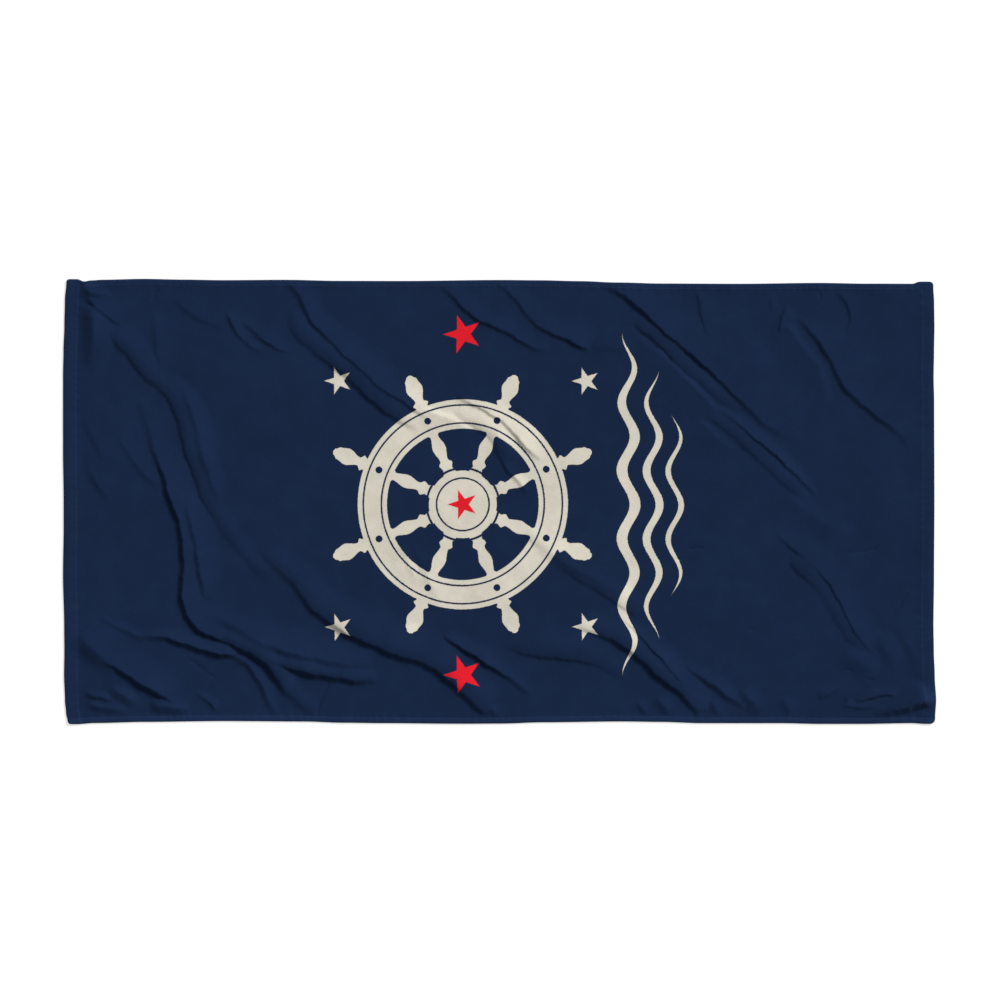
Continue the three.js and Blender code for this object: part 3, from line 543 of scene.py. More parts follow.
class Cloth:
    """The towel's cloth in millimetres: its sizes, and the heights that follow from them."""

    def __init__(self, sizes):
        self.thickness = sizes.cloth_thickness / MM
        self.hem_rise = sizes.hem_rise / MM
        self.corner_rise = sizes.corner_rise / MM
        self.end_hem = sizes.end_hem_width / MM
        self.side_hem = sizes.side_hem_width / MM
        self.pile_uneven = sizes.pile_unevenness / MM
        self.pucker = sizes.hem_pucker / MM
        random = np.random.default_rng(sizes.seed)
        self.waves = [
            (2 * math.pi / random.uniform(*PILE_WAVE_LENGTHS), *random.uniform(0, 2 * math.pi, 2))
            for _ in range(PILE_WAVES)
        ]

    def halves(self, share):
        """Half the length and half the width between lines that are this share across the hems."""
        return LENGTH / 2 - share * self.end_hem, WIDTH / 2 - share * self.side_hem

    def across_hems(self, u, v):
        """How far points are across the end hem and the side hem, as shares of their widths."""
        return (LENGTH / 2 - abs(u)) / self.end_hem, (WIDTH / 2 - abs(v)) / self.side_hem

    def pile_height(self, u, v):
        """The pile's own unevenness, as faint patches where two waves that cross meet."""
        waves = [
            np.sin(rate * (u * math.cos(way) + v * math.sin(way)) + phase)
            for rate, way, phase in self.waves
        ]
        total = sum(one * other for one, other in zip(waves[::2], waves[1::2]))
        return self.pile_uneven * total / math.sqrt(len(waves) / 2)

    def puckers(self, u, v):
        """The small ripples that the stitches draw into the cloth beside a hem."""
        across_end, across_side = self.across_hems(u, v)
        most, most_run, most_start = PUCKER_SWELLING
        rise = 0
        for along, across, width in ((v, across_end, self.end_hem), (u, across_side, self.side_hem)):
            from_row = (across - STITCH_PLACE) * width
            drift = sum(size * np.sin(along / run + start) for size, run, start in PUCKER_DRIFTS)
            swelling = (1 - most) + most * np.sin(along / most_run + most_start)
            wave = np.sin(along * 2 * math.pi / PUCKER_LENGTH + drift) * swelling
            rise = rise + wave * np.exp(-((from_row / PUCKER_REACH) ** 2))
        return self.pucker * rise

    def top(self, u, v):
        """The height of the towel's face."""
        x, y = plan_position(u, v)
        share, rise = np.array(HEM_SHAPE, float).T
        on_end, on_side = (np.interp(across, share, rise) for across in self.across_hems(u, v))
        hems = self.hem_rise * np.maximum(on_end, on_side)
        hems = hems + self.corner_rise * np.minimum(on_end, on_side)
        uneven = self.pile_height(u, v) + self.puckers(u, v) - pressed(x, y)
        return lift(x, y) + self.thickness + hems + uneven - edge_drop(u, v, EDGE_ROUND)

    def under(self, u, v):
        """The height of the towel's underside."""
        return lift(*plan_position(u, v)) + edge_drop(u, v, UNDER_ROUND)


def coarse_field(half_u, half_v):
    """The field between the hems as an even grid of triangles (tip, left, right), each with its
    longest edge from left to right."""
    columns = 2 * round(half_u / FIELD_CELL)
    rows = 2 * round(half_v / FIELD_CELL)
    u, v = np.meshgrid(np.linspace(-half_u, half_u, columns + 1), np.linspace(-half_v, half_v, rows + 1))
    points = np.column_stack([u.ravel(), v.ravel()])
    row, column = (a.ravel() for a in np.meshgrid(np.arange(rows), np.arange(columns), indexing="ij"))
    bottom_left = row * (columns + 1) + column
    bottom_right, top_left = bottom_left + 1, bottom_left + columns + 1
    top_right = top_left + 1
    one_way = ((row + column) % 2 == 0)[:, None]
    first = np.where(one_way, np.column_stack([bottom_right, top_right, bottom_left]),
                     np.column_stack([top_right, top_left, bottom_right]))
    second = np.where(one_way, np.column_stack([top_left, bottom_left, top_right]),
                      np.column_stack([bottom_left, bottom_right, top_left]))
    return points, np.vstack([first, second])


def strays(points, triangles, height, most):
    """Which triangles lie further than `most` from the true surface somewhere on them."""
    z = height(*points.T)
    too_far = np.zeros(len(triangles), bool)
    for mix in MEASURED_AT:
        at = sum(share * points[triangles[:, i]] for i, share in enumerate(mix))
        flat = sum(share * z[triangles[:, i]] for i, share in enumerate(mix))
        too_far |= abs(height(*at.T) - flat) > most
    return too_far


def triangles_to_split(points, triangles, height, most):
    """Which triangles are too coarse. Along the field's outline they end up even, so that both
    sides of the cloth have the same outline."""
    half_u, half_v = points.max(0)
    _, left, right = triangles.T
    longest = np.linalg.norm(points[right] - points[left], axis=1)
    inside = np.minimum(half_u - abs(points[:, 0]), half_v - abs(points[:, 1]))
    wanted = ((inside[triangles] == 0).sum(1) >= 2) & (longest > OUTLINE_LONGEST)
    by_outline = inside[triangles].min(1) < BY_OUTLINE
    least = np.where(by_outline, OUTLINE_SHORTEST_SPLIT, SHORTEST_SPLIT)
    large = np.flatnonzero((longest > least) & ~wanted)
    wanted[large] = strays(points, triangles[large], height, most)
    return wanted


def split_field(points, triangles, height, most):
    """Splits triangles across their longest edges until the facets follow the surface. A triangle
    is split too where a neighbour's new point lies on one of its edges."""
    wanted = triangles_to_split(points, triangles, height, most)
    while wanted.any():
        tip, left, right = triangles.T
        sides = np.stack([np.stack(pair, 1) for pair in ((left, right), (tip, left), (tip, right))], 1)
        sides = np.sort(sides, 2).reshape(-1, 2)
        edges, side = np.unique(sides[:, 0] * len(points) + sides[:, 1], return_inverse=True)
        base, first, second = side.reshape(-1, 3).T
        split = np.zeros(len(edges), bool)
        forced = wanted
        while forced.any():
            split[base[forced]] = True
            forced = (split[first] | split[second]) & ~split[base]
        middle = np.full(len(edges), -1)
        middle[split] = len(points) + np.arange(split.sum())
        one_end, other_end = np.divmod(edges[split], len(points))
        points = np.vstack([points, (points[one_end] + points[other_end]) / 2])
        parts = [triangles[~split[base]]]
        for new_tip, left, right, edge in (
            (middle[base], tip, left, first),
            (middle[base], right, tip, second),
        ):
            whole = split[base] & ~split[edge]
            again = split[base] & split[edge]
            parts.append(np.column_stack([new_tip, left, right])[whole])
            parts.append(np.column_stack([middle[edge], new_tip, left])[again])
            parts.append(np.column_stack([middle[edge], right, new_tip])[again])
        triangles = np.vstack(parts)
        wanted = triangles_to_split(points, triangles, height, most)
    return points, triangles


def outline(points):
    """The numbers of the points on the field's outline, counterclockwise."""
    half_u, half_v = points.max(0)
    u, v = points.T
    chains = []
    for line, along in ((v == -half_v, u), (u == half_u, v), (v == half_v, -u), (u == -half_u, -v)):
        on = np.flatnonzero(line)
        chains.append(on[np.argsort(along[on])][:-1])
    return np.concatenate(chains)


def band(inner, outer):
    """The triangles between two closed rows of as many points."""
    next_inner, next_outer = np.roll(inner, -1), np.roll(outer, -1)
    return np.vstack([
        np.column_stack([inner, outer, next_outer]),
        np.column_stack([inner, next_outer, next_inner]),
    ])


def cloth_side(cloth, height, most, shares, edge_steps):
    """One side of the towel: the field, and rows round it over the hems to the outer edge. Gives
    its points in plan, its triangles, its outermost row, and how many triangles are the field's."""
    hem_end, _ = HEM_SHAPE[-1]
    field_halves = cloth.halves(hem_end)
    points, triangles = split_field(*coarse_field(*field_halves), height, most)
    field = len(triangles)
    row = outline(points)
    ring = points[row] / field_halves
    row_halves = [cloth.halves(share) for share in shares]
    row_halves += [(LENGTH / 2 - step, WIDTH / 2 - step) for step in reversed(edge_steps)]
    for halves in row_halves:
        outer = len(points) + np.arange(len(ring))
        points = np.vstack([points, ring * halves])
        triangles = np.vstack([triangles, band(row, outer)])
        row = outer
    return points, triangles, row, field


def baked_map(across, face, back, steps):
    """The map for baked looks, from each corner's share of the length and the width. The face's
    triangles come first, then the back's, and then the rim's, two for each of its steps."""
    baked = MAP_MARGIN + across * (1 - 2 * MAP_MARGIN)
    for (low, high), first, count in ((FACE_PART, 0, face), (BACK_PART, face, back)):
        corners = slice(3 * first, 3 * (first + count))
        baked[corners, 1] = low + (high - low) * across[corners, 1]
    step = np.arange(steps) / steps
    next_step = step + 1 / steps
    lower, upper = (np.full(steps, edge) for edge in RIM_PART)
    rim = np.vstack([
        np.column_stack([step, upper, step, lower, next_step, lower]),
        np.column_stack([step, upper, next_step, lower, next_step, upper]),
    ])
    baked[3 * (face + back):] = rim.reshape(-1, 2)
    return baked


def cloth_mesh(cloth, name, face_stray, back_stray):
    """The whole closed cloth as a mesh, with its two maps and its two materials' faces."""
    # The face has a row at each place of the hem's shape, but for the first two, where its edge is
    # round, and the last, where the field ends.
    hem_rows = [share for share, _ in reversed(HEM_SHAPE[2:-1])]
    top, top_faces, top_row, _ = cloth_side(cloth, cloth.top, face_stray, hem_rows, EDGE_STEPS)
    under, under_faces, under_row, back_field = cloth_side(
        cloth, cloth.under, back_stray, [1], UNDER_STEPS
    )
    under_faces = under_faces[:, ::-1] + len(top)
    faces = np.vstack([top_faces, under_faces, band(top_row, under_row + len(top))])
    plan = np.vstack([top, under])
    z = np.concatenate([cloth.top(*top.T), cloth.under(*under.T)])
    positions = np.column_stack([*plan_position(*plan.T), z]) * MM
    material = np.zeros(len(faces), int)
    material[len(top_faces):len(top_faces) + back_field] = 1

    mesh = bpy.data.meshes.new(name)
    mesh.vertices.add(len(positions))
    mesh.vertices.foreach_set("co", positions.ravel())
    mesh.loops.add(faces.size)
    mesh.loops.foreach_set("vertex_index", faces.ravel())
    mesh.polygons.add(len(faces))
    mesh.polygons.foreach_set("loop_start", np.arange(0, faces.size, 3))
    mesh.polygons.foreach_set("material_index", material)
    mesh.update(calc_edges=True)
    mesh.shade_smooth()
    across = plan[faces.ravel()] / (LENGTH, WIDTH) + 0.5
    baked = baked_map(across, len(top_faces), len(under_faces), len(top_row))
    mesh.uv_layers.new(name="cloth").data.foreach_set("uv", across.ravel())
    mesh.uv_layers.new(name="OFBake").data.foreach_set("uv", baked.ravel())
    mesh.validate()
    return mesh


class Value:
    """A socket that carries a number, with the sums that patterns are made of."""

    def __init__(self, finish, socket):
        self.finish = finish
        self.socket = socket

    def __add__(self, other):
        return self.finish.math("ADD", self, other)

    def __sub__(self, other):
        return self.finish.math("SUBTRACT", self, other)

    def __rsub__(self, other):
        return self.finish.math("SUBTRACT", other, self)

    def __mul__(self, other):
        return self.finish.math("MULTIPLY", self, other)

    def __truediv__(self, other):
        return self.finish.math("DIVIDE", self, other)

    def __mod__(self, other):
        return self.finish.math("FLOORED_MODULO", self, other)

    def __or__(self, other):
        return self.finish.math("MAXIMUM", self, other)

    def __abs__(self):
        return self.finish.math("ABSOLUTE", self)

    __radd__ = __add__
    __rmul__ = __mul__

    def swing(self, amount):
        """A pattern from 0 to 1 as a change of up to half the amount either way."""
        return (self - 0.5) * amount


class Nodes:
    """A tree of nodes under way. Each of its nodes comes from `node`."""

    def __init__(self, tree):
        self.tree = tree

    def node(self, kind, settings=None, sockets=None):
        """A new node of a kind, with its settings made first, and then its sockets set or linked.
        A node that is given to a socket stands for its own first output."""
        node = self.tree.nodes.new(kind)
        for name, setting in (settings or {}).items():
            if name == "stops":
                self.set_stops(node.color_ramp, setting)
            else:
                setattr(node, name, setting)
        for name, given in (sockets or {}).items():
            if isinstance(given, Value):
                given = given.socket
            elif isinstance(given, Node):
                given = given.outputs[0]
            if isinstance(given, NodeSocket):
                self.tree.links.new(given, node.inputs[name])
            else:
                node.inputs[name].default_value = given
        return node

    def set_stops(self, ramp, stops):
        """Gives a ramp its stops of place and grey, eased from each to the next."""
        ramp.interpolation = "EASE"
        for _ in stops[2:]:
            ramp.elements.new(0.5)
        for element, (place, grey) in zip(ramp.elements, stops):
            element.position = place
            element.color = (grey, grey, grey, 1)

    def vector_math(self, operation, first, second):
        """The sum of two vectors, or the like."""
        return self.node("ShaderNodeVectorMath", {"operation": operation}, {0: first, 1: second})

    def scaled(self, vector, factor):
        """A vector made longer or shorter by a factor, or a colour made lighter or darker."""
        return self.node(
            "ShaderNodeVectorMath", {"operation": "SCALE"}, {"Vector": vector, "Scale": factor}
        )


class Finish(Nodes):
    """A material under way."""

    def __init__(self, name):
        self.material = bpy.data.materials.new(name)
        self.material.use_nodes = True
        super().__init__(self.material.node_tree)
        self.tree.nodes.clear()
        self.place = self.node("ShaderNodeTexCoord").outputs["Object"]

    def math(self, operation, *numbers):
        """The result of a sum on numbers."""
        node = self.node("ShaderNodeMath", {"operation": operation}, dict(enumerate(numbers)))
        return Value(self, node.outputs[0])

    def below(self, value, edge, blur):
        """1 where a value is under an edge, 0 where it is over, and eased across the blur."""
        node = self.node(
            "ShaderNodeMapRange",
            {"interpolation_type": "SMOOTHSTEP"},
            {"Value": value, "From Min": edge - blur, "From Max": edge + blur, "To Min": 1, "To Max": 0},
        )
        return Value(self, node.outputs[0])

    def noise(self, scale, detail, roughness=0.5):
        """A cloudy pattern from 0 to 1 that is fixed on the piece."""
        node = self.node(
            "ShaderNodeTexNoise", None,
            {"Vector": self.place, "Scale": scale, "Detail": detail, "Roughness": roughness},
        )
        return Value(self, node.outputs["Fac"])

    def mix(self, share, first, second):
        """A colour between two."""
        node = self.node(
            "ShaderNodeMix", {"data_type": "RGBA"}, {"Factor": share, 6: first, 7: second}
        )
        return node.outputs[2]

    def bump(self, height, strength=1):
        """The shading of a height in metres."""
        return self.node("ShaderNodeBump", None, {"Strength": strength, "Distance": 1, "Height": height})

    def finished(self, sockets):
        """The material, with its surface's sockets set."""
        surface = self.node("ShaderNodeBsdfPrincipled", None, sockets)
        self.node("ShaderNodeOutputMaterial", None, {"Surface": surface})
        return self.material


# The pile's patterns. Columns: the noise's scale, detail and roughness, and the share by which it
# makes the cloth lighter or darker.
Pattern = namedtuple("Pattern", "scale detail roughness light")
TUFTS = Pattern(750, 2, 0.5, light=0.5)
NAP = Pattern(26, 3, 0.6, light=0.3)
PATCHES = Pattern(7, 2, 0.5, light=0.2)
MATTED = Pattern(30, 3, 0.5, light=0.12)
TUFT_HEIGHT = 0.22
NAP_HEIGHT = 0.9

# The loops of the back, darkened between them as painted shade, and the twist of the thread.
LOOPS_PER_METRE = 560
PAINTED_LOOP_SHADE = 0.35
LOOP_HEIGHT = 0.6
OUT_OF_LINE = 0.006  # the share by which a noise moves the loops
OUT_OF_LINE_SCALE = 90
TWIST_SCALE = 1500
TWIST_HEIGHT = 0.2

# The hems look a little paler than the cloth, and the rows that hold them press pale lines into it.
SEAM_HALF = 1
SEAM_LIGHT = 0.2
END_HEM_LIGHT = 0.07
SIDE_HEM_LIGHT = 0.2
LEFT_HEM_WIDER = 3.5  # the left hem is wider than the right one by this

# The print, from the towel's middle. Its top points along -X, and turns are in degrees. Its edges
# are ragged, because they follow the tufts of the pile.
EDGE_BLUR = 0.7
EDGE_RAGGED = 1.6
EDGE_TUFTS_SCALE = 420
Wheel = namedtuple(
    "Wheel", "x y spokes turn hub hub_line moat moat_half rim_in rim_out groove line_half peg"
)
WHEEL = Wheel(x=-62, y=-4, spokes=8, turn=22.5, hub=58, hub_line=45, moat=62, moat_half=2,
              rim_in=130, rim_out=180, groove=15.5, line_half=1.5, peg=6)
# A turned spoke. Columns: distance from the wheel's middle, half its width.
SPOKE_SHAPE = (
    (0, 12), (60, 12), (66, 9), (75, 12.5), (82, 7.5), (104, 12), (126, 7.5), (131, 11), (181, 11),
    (186, 14), (192, 8), (214, 15), (229, 11.5), (237, 6), (240, 0),
)
SPOKE_REACH = 244  # the shape's ramp ends here
Wave = namedtuple("Wave", "x thick half_length")
WAVES = (Wave(222, 20, 300), Wave(264, 15, 236), Wave(301, 11, 160))
WAVE_HEIGHT = 11
WAVE_SPACING = 118
Star = namedtuple("Star", "x y radius")
CREAM_STARS = (Star(150, 208, 24), Star(150, -216, 24), Star(-274, 208, 24), Star(-274, -216, 24))
RED_STARS = (Star(-62, 288, 34), Star(-62, -296, 34), Star(-62, -4, 27))
STAR_POINTS = 5
STAR_TURN = 180
STAR_WAIST = 0.382  # the inner radius of a star, as a share of the outer


def either(masks):
    """1 where any of the masks is."""
    return reduce(operator.or_, masks)


def sector(finish, x, y, count, turn):
    """Points moved into the first of `count` like sectors round the origin: how far out they are
    along the sector's middle, how far from that, and how far from the origin."""
    distance = finish.math("SQRT", x * x + y * y)
    angle = finish.math("ARCTAN2", y, x)
    whole = 2 * math.pi / count
    aside = abs((angle - math.radians(turn) + whole / 2) % whole - whole / 2)
    return distance * finish.math("COSINE", aside), distance * finish.math("SINE", aside), distance


def star_mask(finish, x, y, star):
    """1 inside a star."""
    along, aside, _ = sector(finish, x - star.x, y - star.y, STAR_POINTS, STAR_TURN)
    waist = star.radius * STAR_WAIST
    waist_along = waist * math.cos(math.pi / STAR_POINTS)
    waist_aside = waist * math.sin(math.pi / STAR_POINTS)
    length = math.hypot(star.radius - waist_along, waist_aside)
    normal_along, normal_aside = waist_aside / length, (star.radius - waist_along) / length
    outside = (along - star.radius) * normal_along + aside * normal_aside
    return finish.below(outside, 0, EDGE_BLUR)


def wheel_mask(finish, x, y):
    """1 on the ship's wheel: its spokes with turned handles, its grooved rim and its hub."""
    wheel = WHEEL
    along, aside, distance = sector(finish, x - wheel.x, y - wheel.y, wheel.spokes, wheel.turn)
    widest = max(half for _, half in SPOKE_SHAPE)
    stops = [(at / SPOKE_REACH, half / widest) for at, half in SPOKE_SHAPE]
    ramp = finish.node("ShaderNodeValToRGB", {"stops": stops}, {"Fac": along / SPOKE_REACH})
    half_width = Value(finish, ramp.outputs[0]) * widest
    spoke = finish.below(aside - half_width, -EDGE_BLUR, EDGE_BLUR)
    middle = (wheel.rim_in + wheel.rim_out) / 2
    from_middle = abs(distance - middle)
    rim = finish.below(from_middle, wheel.rim_out - middle, EDGE_BLUR)
    groove = finish.below(abs(from_middle - wheel.groove), wheel.line_half, EDGE_BLUR)
    from_peg = finish.math("SQRT", (along - middle) * (along - middle) + aside * aside)
    peg = finish.below(from_peg, wheel.peg, EDGE_BLUR)
    hub = finish.below(distance, wheel.hub, EDGE_BLUR)
    moat = finish.below(abs(distance - wheel.moat), wheel.moat_half, EDGE_BLUR)
    hub_line = finish.below(abs(distance - wheel.hub_line), wheel.line_half, EDGE_BLUR)
    return (spoke | rim | hub) * (1 - (groove | peg | hub_line | moat))


def waves_mask(finish, x, y):
    """1 on the wave lines, which thin out towards their ends."""
    from_middle = y - WHEEL.y
    swing = finish.math("COSINE", from_middle * (2 * math.pi / WAVE_SPACING)) * WAVE_HEIGHT
    masks = []
    for wave in WAVES:
        along = abs(from_middle) / wave.half_length
        half = (1 - along * along * along) * (wave.thick / 2)
        masks.append(finish.below(abs(x - wave.x - swing) - half, -EDGE_BLUR, EDGE_BLUR))
    return either(masks)


def velour(colours, cloth):
    """The towel's face: short, soft, printed pile, which is paler where the hem rows press it."""
    finish = Finish("printed_velour")
    split = finish.node(
        "ShaderNodeSeparateXYZ", None, {0: finish.node("ShaderNodeUVMap", {"uv_map": "cloth"})}
    )
    tufts, nap, patches = (finish.noise(*pattern[:3]) for pattern in (TUFTS, NAP, PATCHES))
    ragged = finish.noise(EDGE_TUFTS_SCALE, 1).swing(EDGE_RAGGED)
    x = (Value(finish, split.outputs[0]) - 0.5) * LENGTH + ragged
    y = (Value(finish, split.outputs[1]) - 0.5) * WIDTH + ragged
    cream_stars = either([star_mask(finish, x, y, star) for star in CREAM_STARS])
    red_stars = either([star_mask(finish, x, y, star) for star in RED_STARS])
    cream = wheel_mask(finish, x, y) | waves_mask(finish, x, y) | cream_stars
    ink = finish.mix(cream, (*colours.navy, 1), (*colours.cream, 1))
    ink = finish.mix(red_stars, ink, (*colours.red, 1))

    half_length, half_width = cloth.halves(STITCH_PLACE)
    end = half_length - abs(x - LEFT_HEM_WIDER / 2)
    side = half_width - abs(y)
    seam = finish.below(finish.math("MINIMUM", abs(end), abs(side)), SEAM_HALF, EDGE_BLUR)
    end_hem = finish.below(end, 0, EDGE_BLUR)
    side_hem = finish.below(side, 0, EDGE_BLUR)
    light = 1 + tufts.swing(TUFTS.light) + nap.swing(NAP.light) + patches.swing(PATCHES.light)
    light = light + seam * SEAM_LIGHT + (end_hem * END_HEM_LIGHT + side_hem * SIDE_HEM_LIGHT)
    return finish.finished({
        "Base Color": finish.scaled(ink, light),
        "Roughness": 0.86 + tufts.swing(0.12),
        "Normal": finish.bump(tufts * (TUFT_HEIGHT * MM) + nap * (NAP_HEIGHT * MM)),
        "Specular IOR Level": 0.02,
        "Sheen Weight": 0.04,
        "Sheen Roughness": 0.45,
        "Sheen Tint": (0.55, 0.65, 0.9, 1),
    })


def terry(colours):
    """The towel's back: a plain pile of uncut loops, which are a little out of line and matted, with
    painted shade between the loops.
    """
    finish = Finish("back_terry")
    wander = finish.node(
        "ShaderNodeTexNoise", None,
        {"Vector": finish.place, "Scale": OUT_OF_LINE_SCALE, "Detail": 2},
    )
    shifted = finish.node(
        "ShaderNodeMix", {"data_type": "VECTOR"},
        {"Factor": OUT_OF_LINE, 4: finish.place, 5: wander.outputs["Color"]},
    )
    loops = finish.node(
        "ShaderNodeTexVoronoi", None, {"Vector": shifted.outputs[1], "Scale": LOOPS_PER_METRE}
    )
    loop = Value(finish, loops.outputs["Distance"])
    matted = finish.noise(*MATTED[:3])
    return finish.finished({
        # The back's colour is darker away from each loop's middle: painted shade between the loops.
        "Base Color": finish.scaled(
            colours.back, 1.05 - loop * PAINTED_LOOP_SHADE + matted.swing(MATTED.light)
        ),
        "Roughness": 0.9 + matted.swing(0.1),
        "Normal": finish.bump((matted - loop) * (LOOP_HEIGHT * MM)),
        "Specular IOR Level": 0.15,
        "Sheen Weight": 0.1,
    })


def thread(colours):
    """Twisted sewing thread."""
    finish = Finish("hem_thread")
    twist = finish.noise(TWIST_SCALE, 1)
    return finish.finished({
        "Base Color": finish.scaled(colours.thread, 0.8 + twist * 0.4),
        "Roughness": 0.55 + twist * 0.2,
        "Normal": finish.bump(twist * (TWIST_HEIGHT * MM), 0.6),
        "Specular IOR Level": 0.3,
    })


def floor_finish():
    """Plain pale paper that glows a little, so that shadows on it stay faint."""
    finish = Finish("pale_floor")
    grain = finish.noise(3, 2)
    return finish.finished({
        "Base Color": finish.scaled((0.36, 0.36, 0.36), 0.98 + grain * 0.04),
        "Roughness": 0.9,
        "Specular IOR Level": 0,
        "Emission Color": (1, 1, 1, 1),
        "Emission Strength": 0.62,
    })


def stitch_tree(material):
    """Geometry nodes that lay stitches along a line: one small round stitch at each step, turned
    along the line and lying on the cloth."""
    tree = bpy.data.node_groups.new("hem_stitches", "GeometryNodeTree")
    for name, kind in (
        ("Line", "Geometry"),
        ("Step", "Float"),
        ("Stitch length", "Float"),
        ("Thread width", "Float"),
        ("Unevenness", "Float"),
        ("Seed", "Int"),
    ):
        tree.interface.new_socket(name=name, in_out="INPUT", socket_type="NodeSocket" + kind)
    tree.interface.new_socket(name="Stitches", in_out="OUTPUT", socket_type="NodeSocketGeometry")

    nodes = Nodes(tree)
    node = nodes.node
    given = node("NodeGroupInput").outputs
    curve = node("GeometryNodeMeshToCurve", None, {"Mesh": given["Line"]})
    steps = node(
        "GeometryNodeResampleCurve", {"mode": "LENGTH"}, {"Curve": curve, "Length": given["Step"]}
    )
    tangent = node("GeometryNodeInputTangent")
    up = node("GeometryNodeInputNamedAttribute", {"data_type": "FLOAT_VECTOR"}, {"Name": "up"})
    along = node("FunctionNodeAlignRotationToVector", {"axis": "X"}, {"Vector": tangent})
    lying = node(
        "FunctionNodeAlignRotationToVector", {"axis": "Z", "pivot_axis": "X"},
        {"Rotation": along, "Vector": up},
    )
    even = (1, 1, 1)
    spread = nodes.scaled(even, given["Unevenness"])
    uneven = node("FunctionNodeRandomValue", {"data_type": "FLOAT_VECTOR"}, {
        "Min": nodes.vector_math("SUBTRACT", even, spread),
        "Max": nodes.vector_math("ADD", even, spread),
        "Seed": given["Seed"],
    })
    size = node(
        "ShaderNodeCombineXYZ", None,
        {"X": given["Stitch length"], "Y": given["Thread width"], "Z": given["Thread width"]},
    )
    # Before it is scaled, a stitch is a ball one metre across, with few facets for so many of them.
    stitch = node("GeometryNodeMeshUVSphere", None, {"Segments": 6, "Rings": 4, "Radius": 0.5})
    rounded = node("GeometryNodeSetShadeSmooth", None, {"Geometry": stitch})
    placed = node("GeometryNodeInstanceOnPoints", None, {
        "Points": steps,
        "Instance": rounded,
        "Rotation": lying,
        "Scale": nodes.vector_math("MULTIPLY", size, uneven),
    })
    real = node("GeometryNodeRealizeInstances", None, {0: placed})
    dressed = node("GeometryNodeSetMaterial", None, {"Geometry": real, "Material": material})
    node("NodeGroupOutput", None, {0: dressed})
    return tree


def stitch_lines(cloth):
    """The four rows of hem stitches as chains of points on the face, and the face's direction."""
    half_u, half_v = cloth.halves(STITCH_PLACE)
    end = np.arange(-WIDTH / 2 + ROW_END, WIDTH / 2 - ROW_END, ROW_STEP)
    side = np.arange(-half_u, half_u, ROW_STEP)
    lines = [(np.full(len(end), u), end) for u in (-half_u, half_u)]
    lines += [(side, np.full(len(side), v)) for v in (-half_v, half_v)]
    for u, v in lines:
        x, y = plan_position(u, v)
        z = cloth.top(u, v)
        climb_u = cloth.top(u + SLOPE_REACH, v) - cloth.top(u - SLOPE_REACH, v)
        climb_v = cloth.top(u, v + SLOPE_REACH) - cloth.top(u, v - SLOPE_REACH)
        up = np.column_stack([-climb_u, -climb_v, np.full(len(u), 2 * SLOPE_REACH)])
        yield np.column_stack([x, y, z]) * MM, up / np.linalg.norm(up, axis=1)[:, None]


def add_object(name, data):
    """A new object in the scene."""
    piece = bpy.data.objects.new(name, data)
    bpy.context.scene.collection.objects.link(piece)
    return piece


def length_property(name, description, default, low=0, high=10000):
    """A length, given here in millimetres."""
    return FloatProperty(
        name=name, description=description, default=default * MM, min=low * MM, max=high * MM,
        unit="LENGTH", precision=5)


def angle_property(name, description, degrees):
    """An angle, given here in degrees."""
    return FloatProperty(
        name=name, description=description, default=math.radians(degrees), subtype="ANGLE")


def colour_property(name, description, default):
    """A colour in linear light."""
    return FloatVectorProperty(
        name=name, description=description, default=default, size=3, min=0, max=1, subtype="COLOR")


class TowelSizes(PropertyGroup):
    """The cloth's own sizes."""

    cloth_thickness: length_property("Cloth", "Thickness of the cloth with its pile", 2.8, 1, 6)
    hem_rise: length_property("Hem rise", "What a turned hem adds to the thickness", 1.5, 0, 8)
    corner_rise: length_property("Corner rise", "What the second hem adds where two cross", 1.4, 0, 6)
    end_hem_width: length_property("End hems", "Width of the hems at the two ends", 23, 8, 40)
    side_hem_width: length_property("Side hems", "Width of the hems along the two sides", 10, 6, 40)
    pile_unevenness: length_property(
        "Pile unevenness", "Height of the long faint waves in the pile", 0.15, 0, 1)
    hem_pucker: length_property(
        "Puckers", "Height of the ripples beside the hem stitches", 0.42, 0, 2)
    face_stray: length_property(
        "Face detail", "How far the face's facets may lie from its true shape", 0.1, 0.01, 2)
    back_stray: length_property(
        "Back detail", "How far the back's facets may lie from its true shape", 0.9, 0.01, 2)
    cut_width: length_property("Cut width", "Width of the flat cloth with its hems sewn", 762)
    cut_length: length_property("Cut length", "Length of the flat cloth with its hems sewn", 1524)
    seed: IntProperty(name="Seed", description="Start of the pile's chance waves", default=4)


class StitchSizes(PropertyGroup):
    """The hem stitches' sizes."""

    step: length_property("Step", "Distance from stitch to stitch", 3, 1, 10)
    length: length_property("Length", "Length of the thread that shows in a stitch", 2.5, 0.5, 10)
    thread: length_property("Thread", "Thickness of the thread", 0.75, 0.1, 2)
    unevenness: FloatProperty(
        name="Unevenness", description="How much the stitches differ in size", default=0.15,
        min=0, max=0.5, subtype="FACTOR")
    seed: IntProperty(name="Seed", description="Start of the stitches' chance sizes", default=7)


class TowelColours(PropertyGroup):
    """The colours of the inks, the back and the thread."""

    navy: colour_property("Ground", "Colour of the printed ground", (0.0073, 0.0165, 0.0455))
    cream: colour_property("Cream", "Colour of the wheel, the waves and small stars", (0.55, 0.52, 0.44))
    red: colour_property("Red", "Colour of the large stars", (0.62, 0.012, 0.022))
    back: colour_property("Back", "Colour of the plain back", (0.76, 0.75, 0.71))
    thread: colour_property("Thread", "Colour of the hem thread", (0.011, 0.023, 0.060))


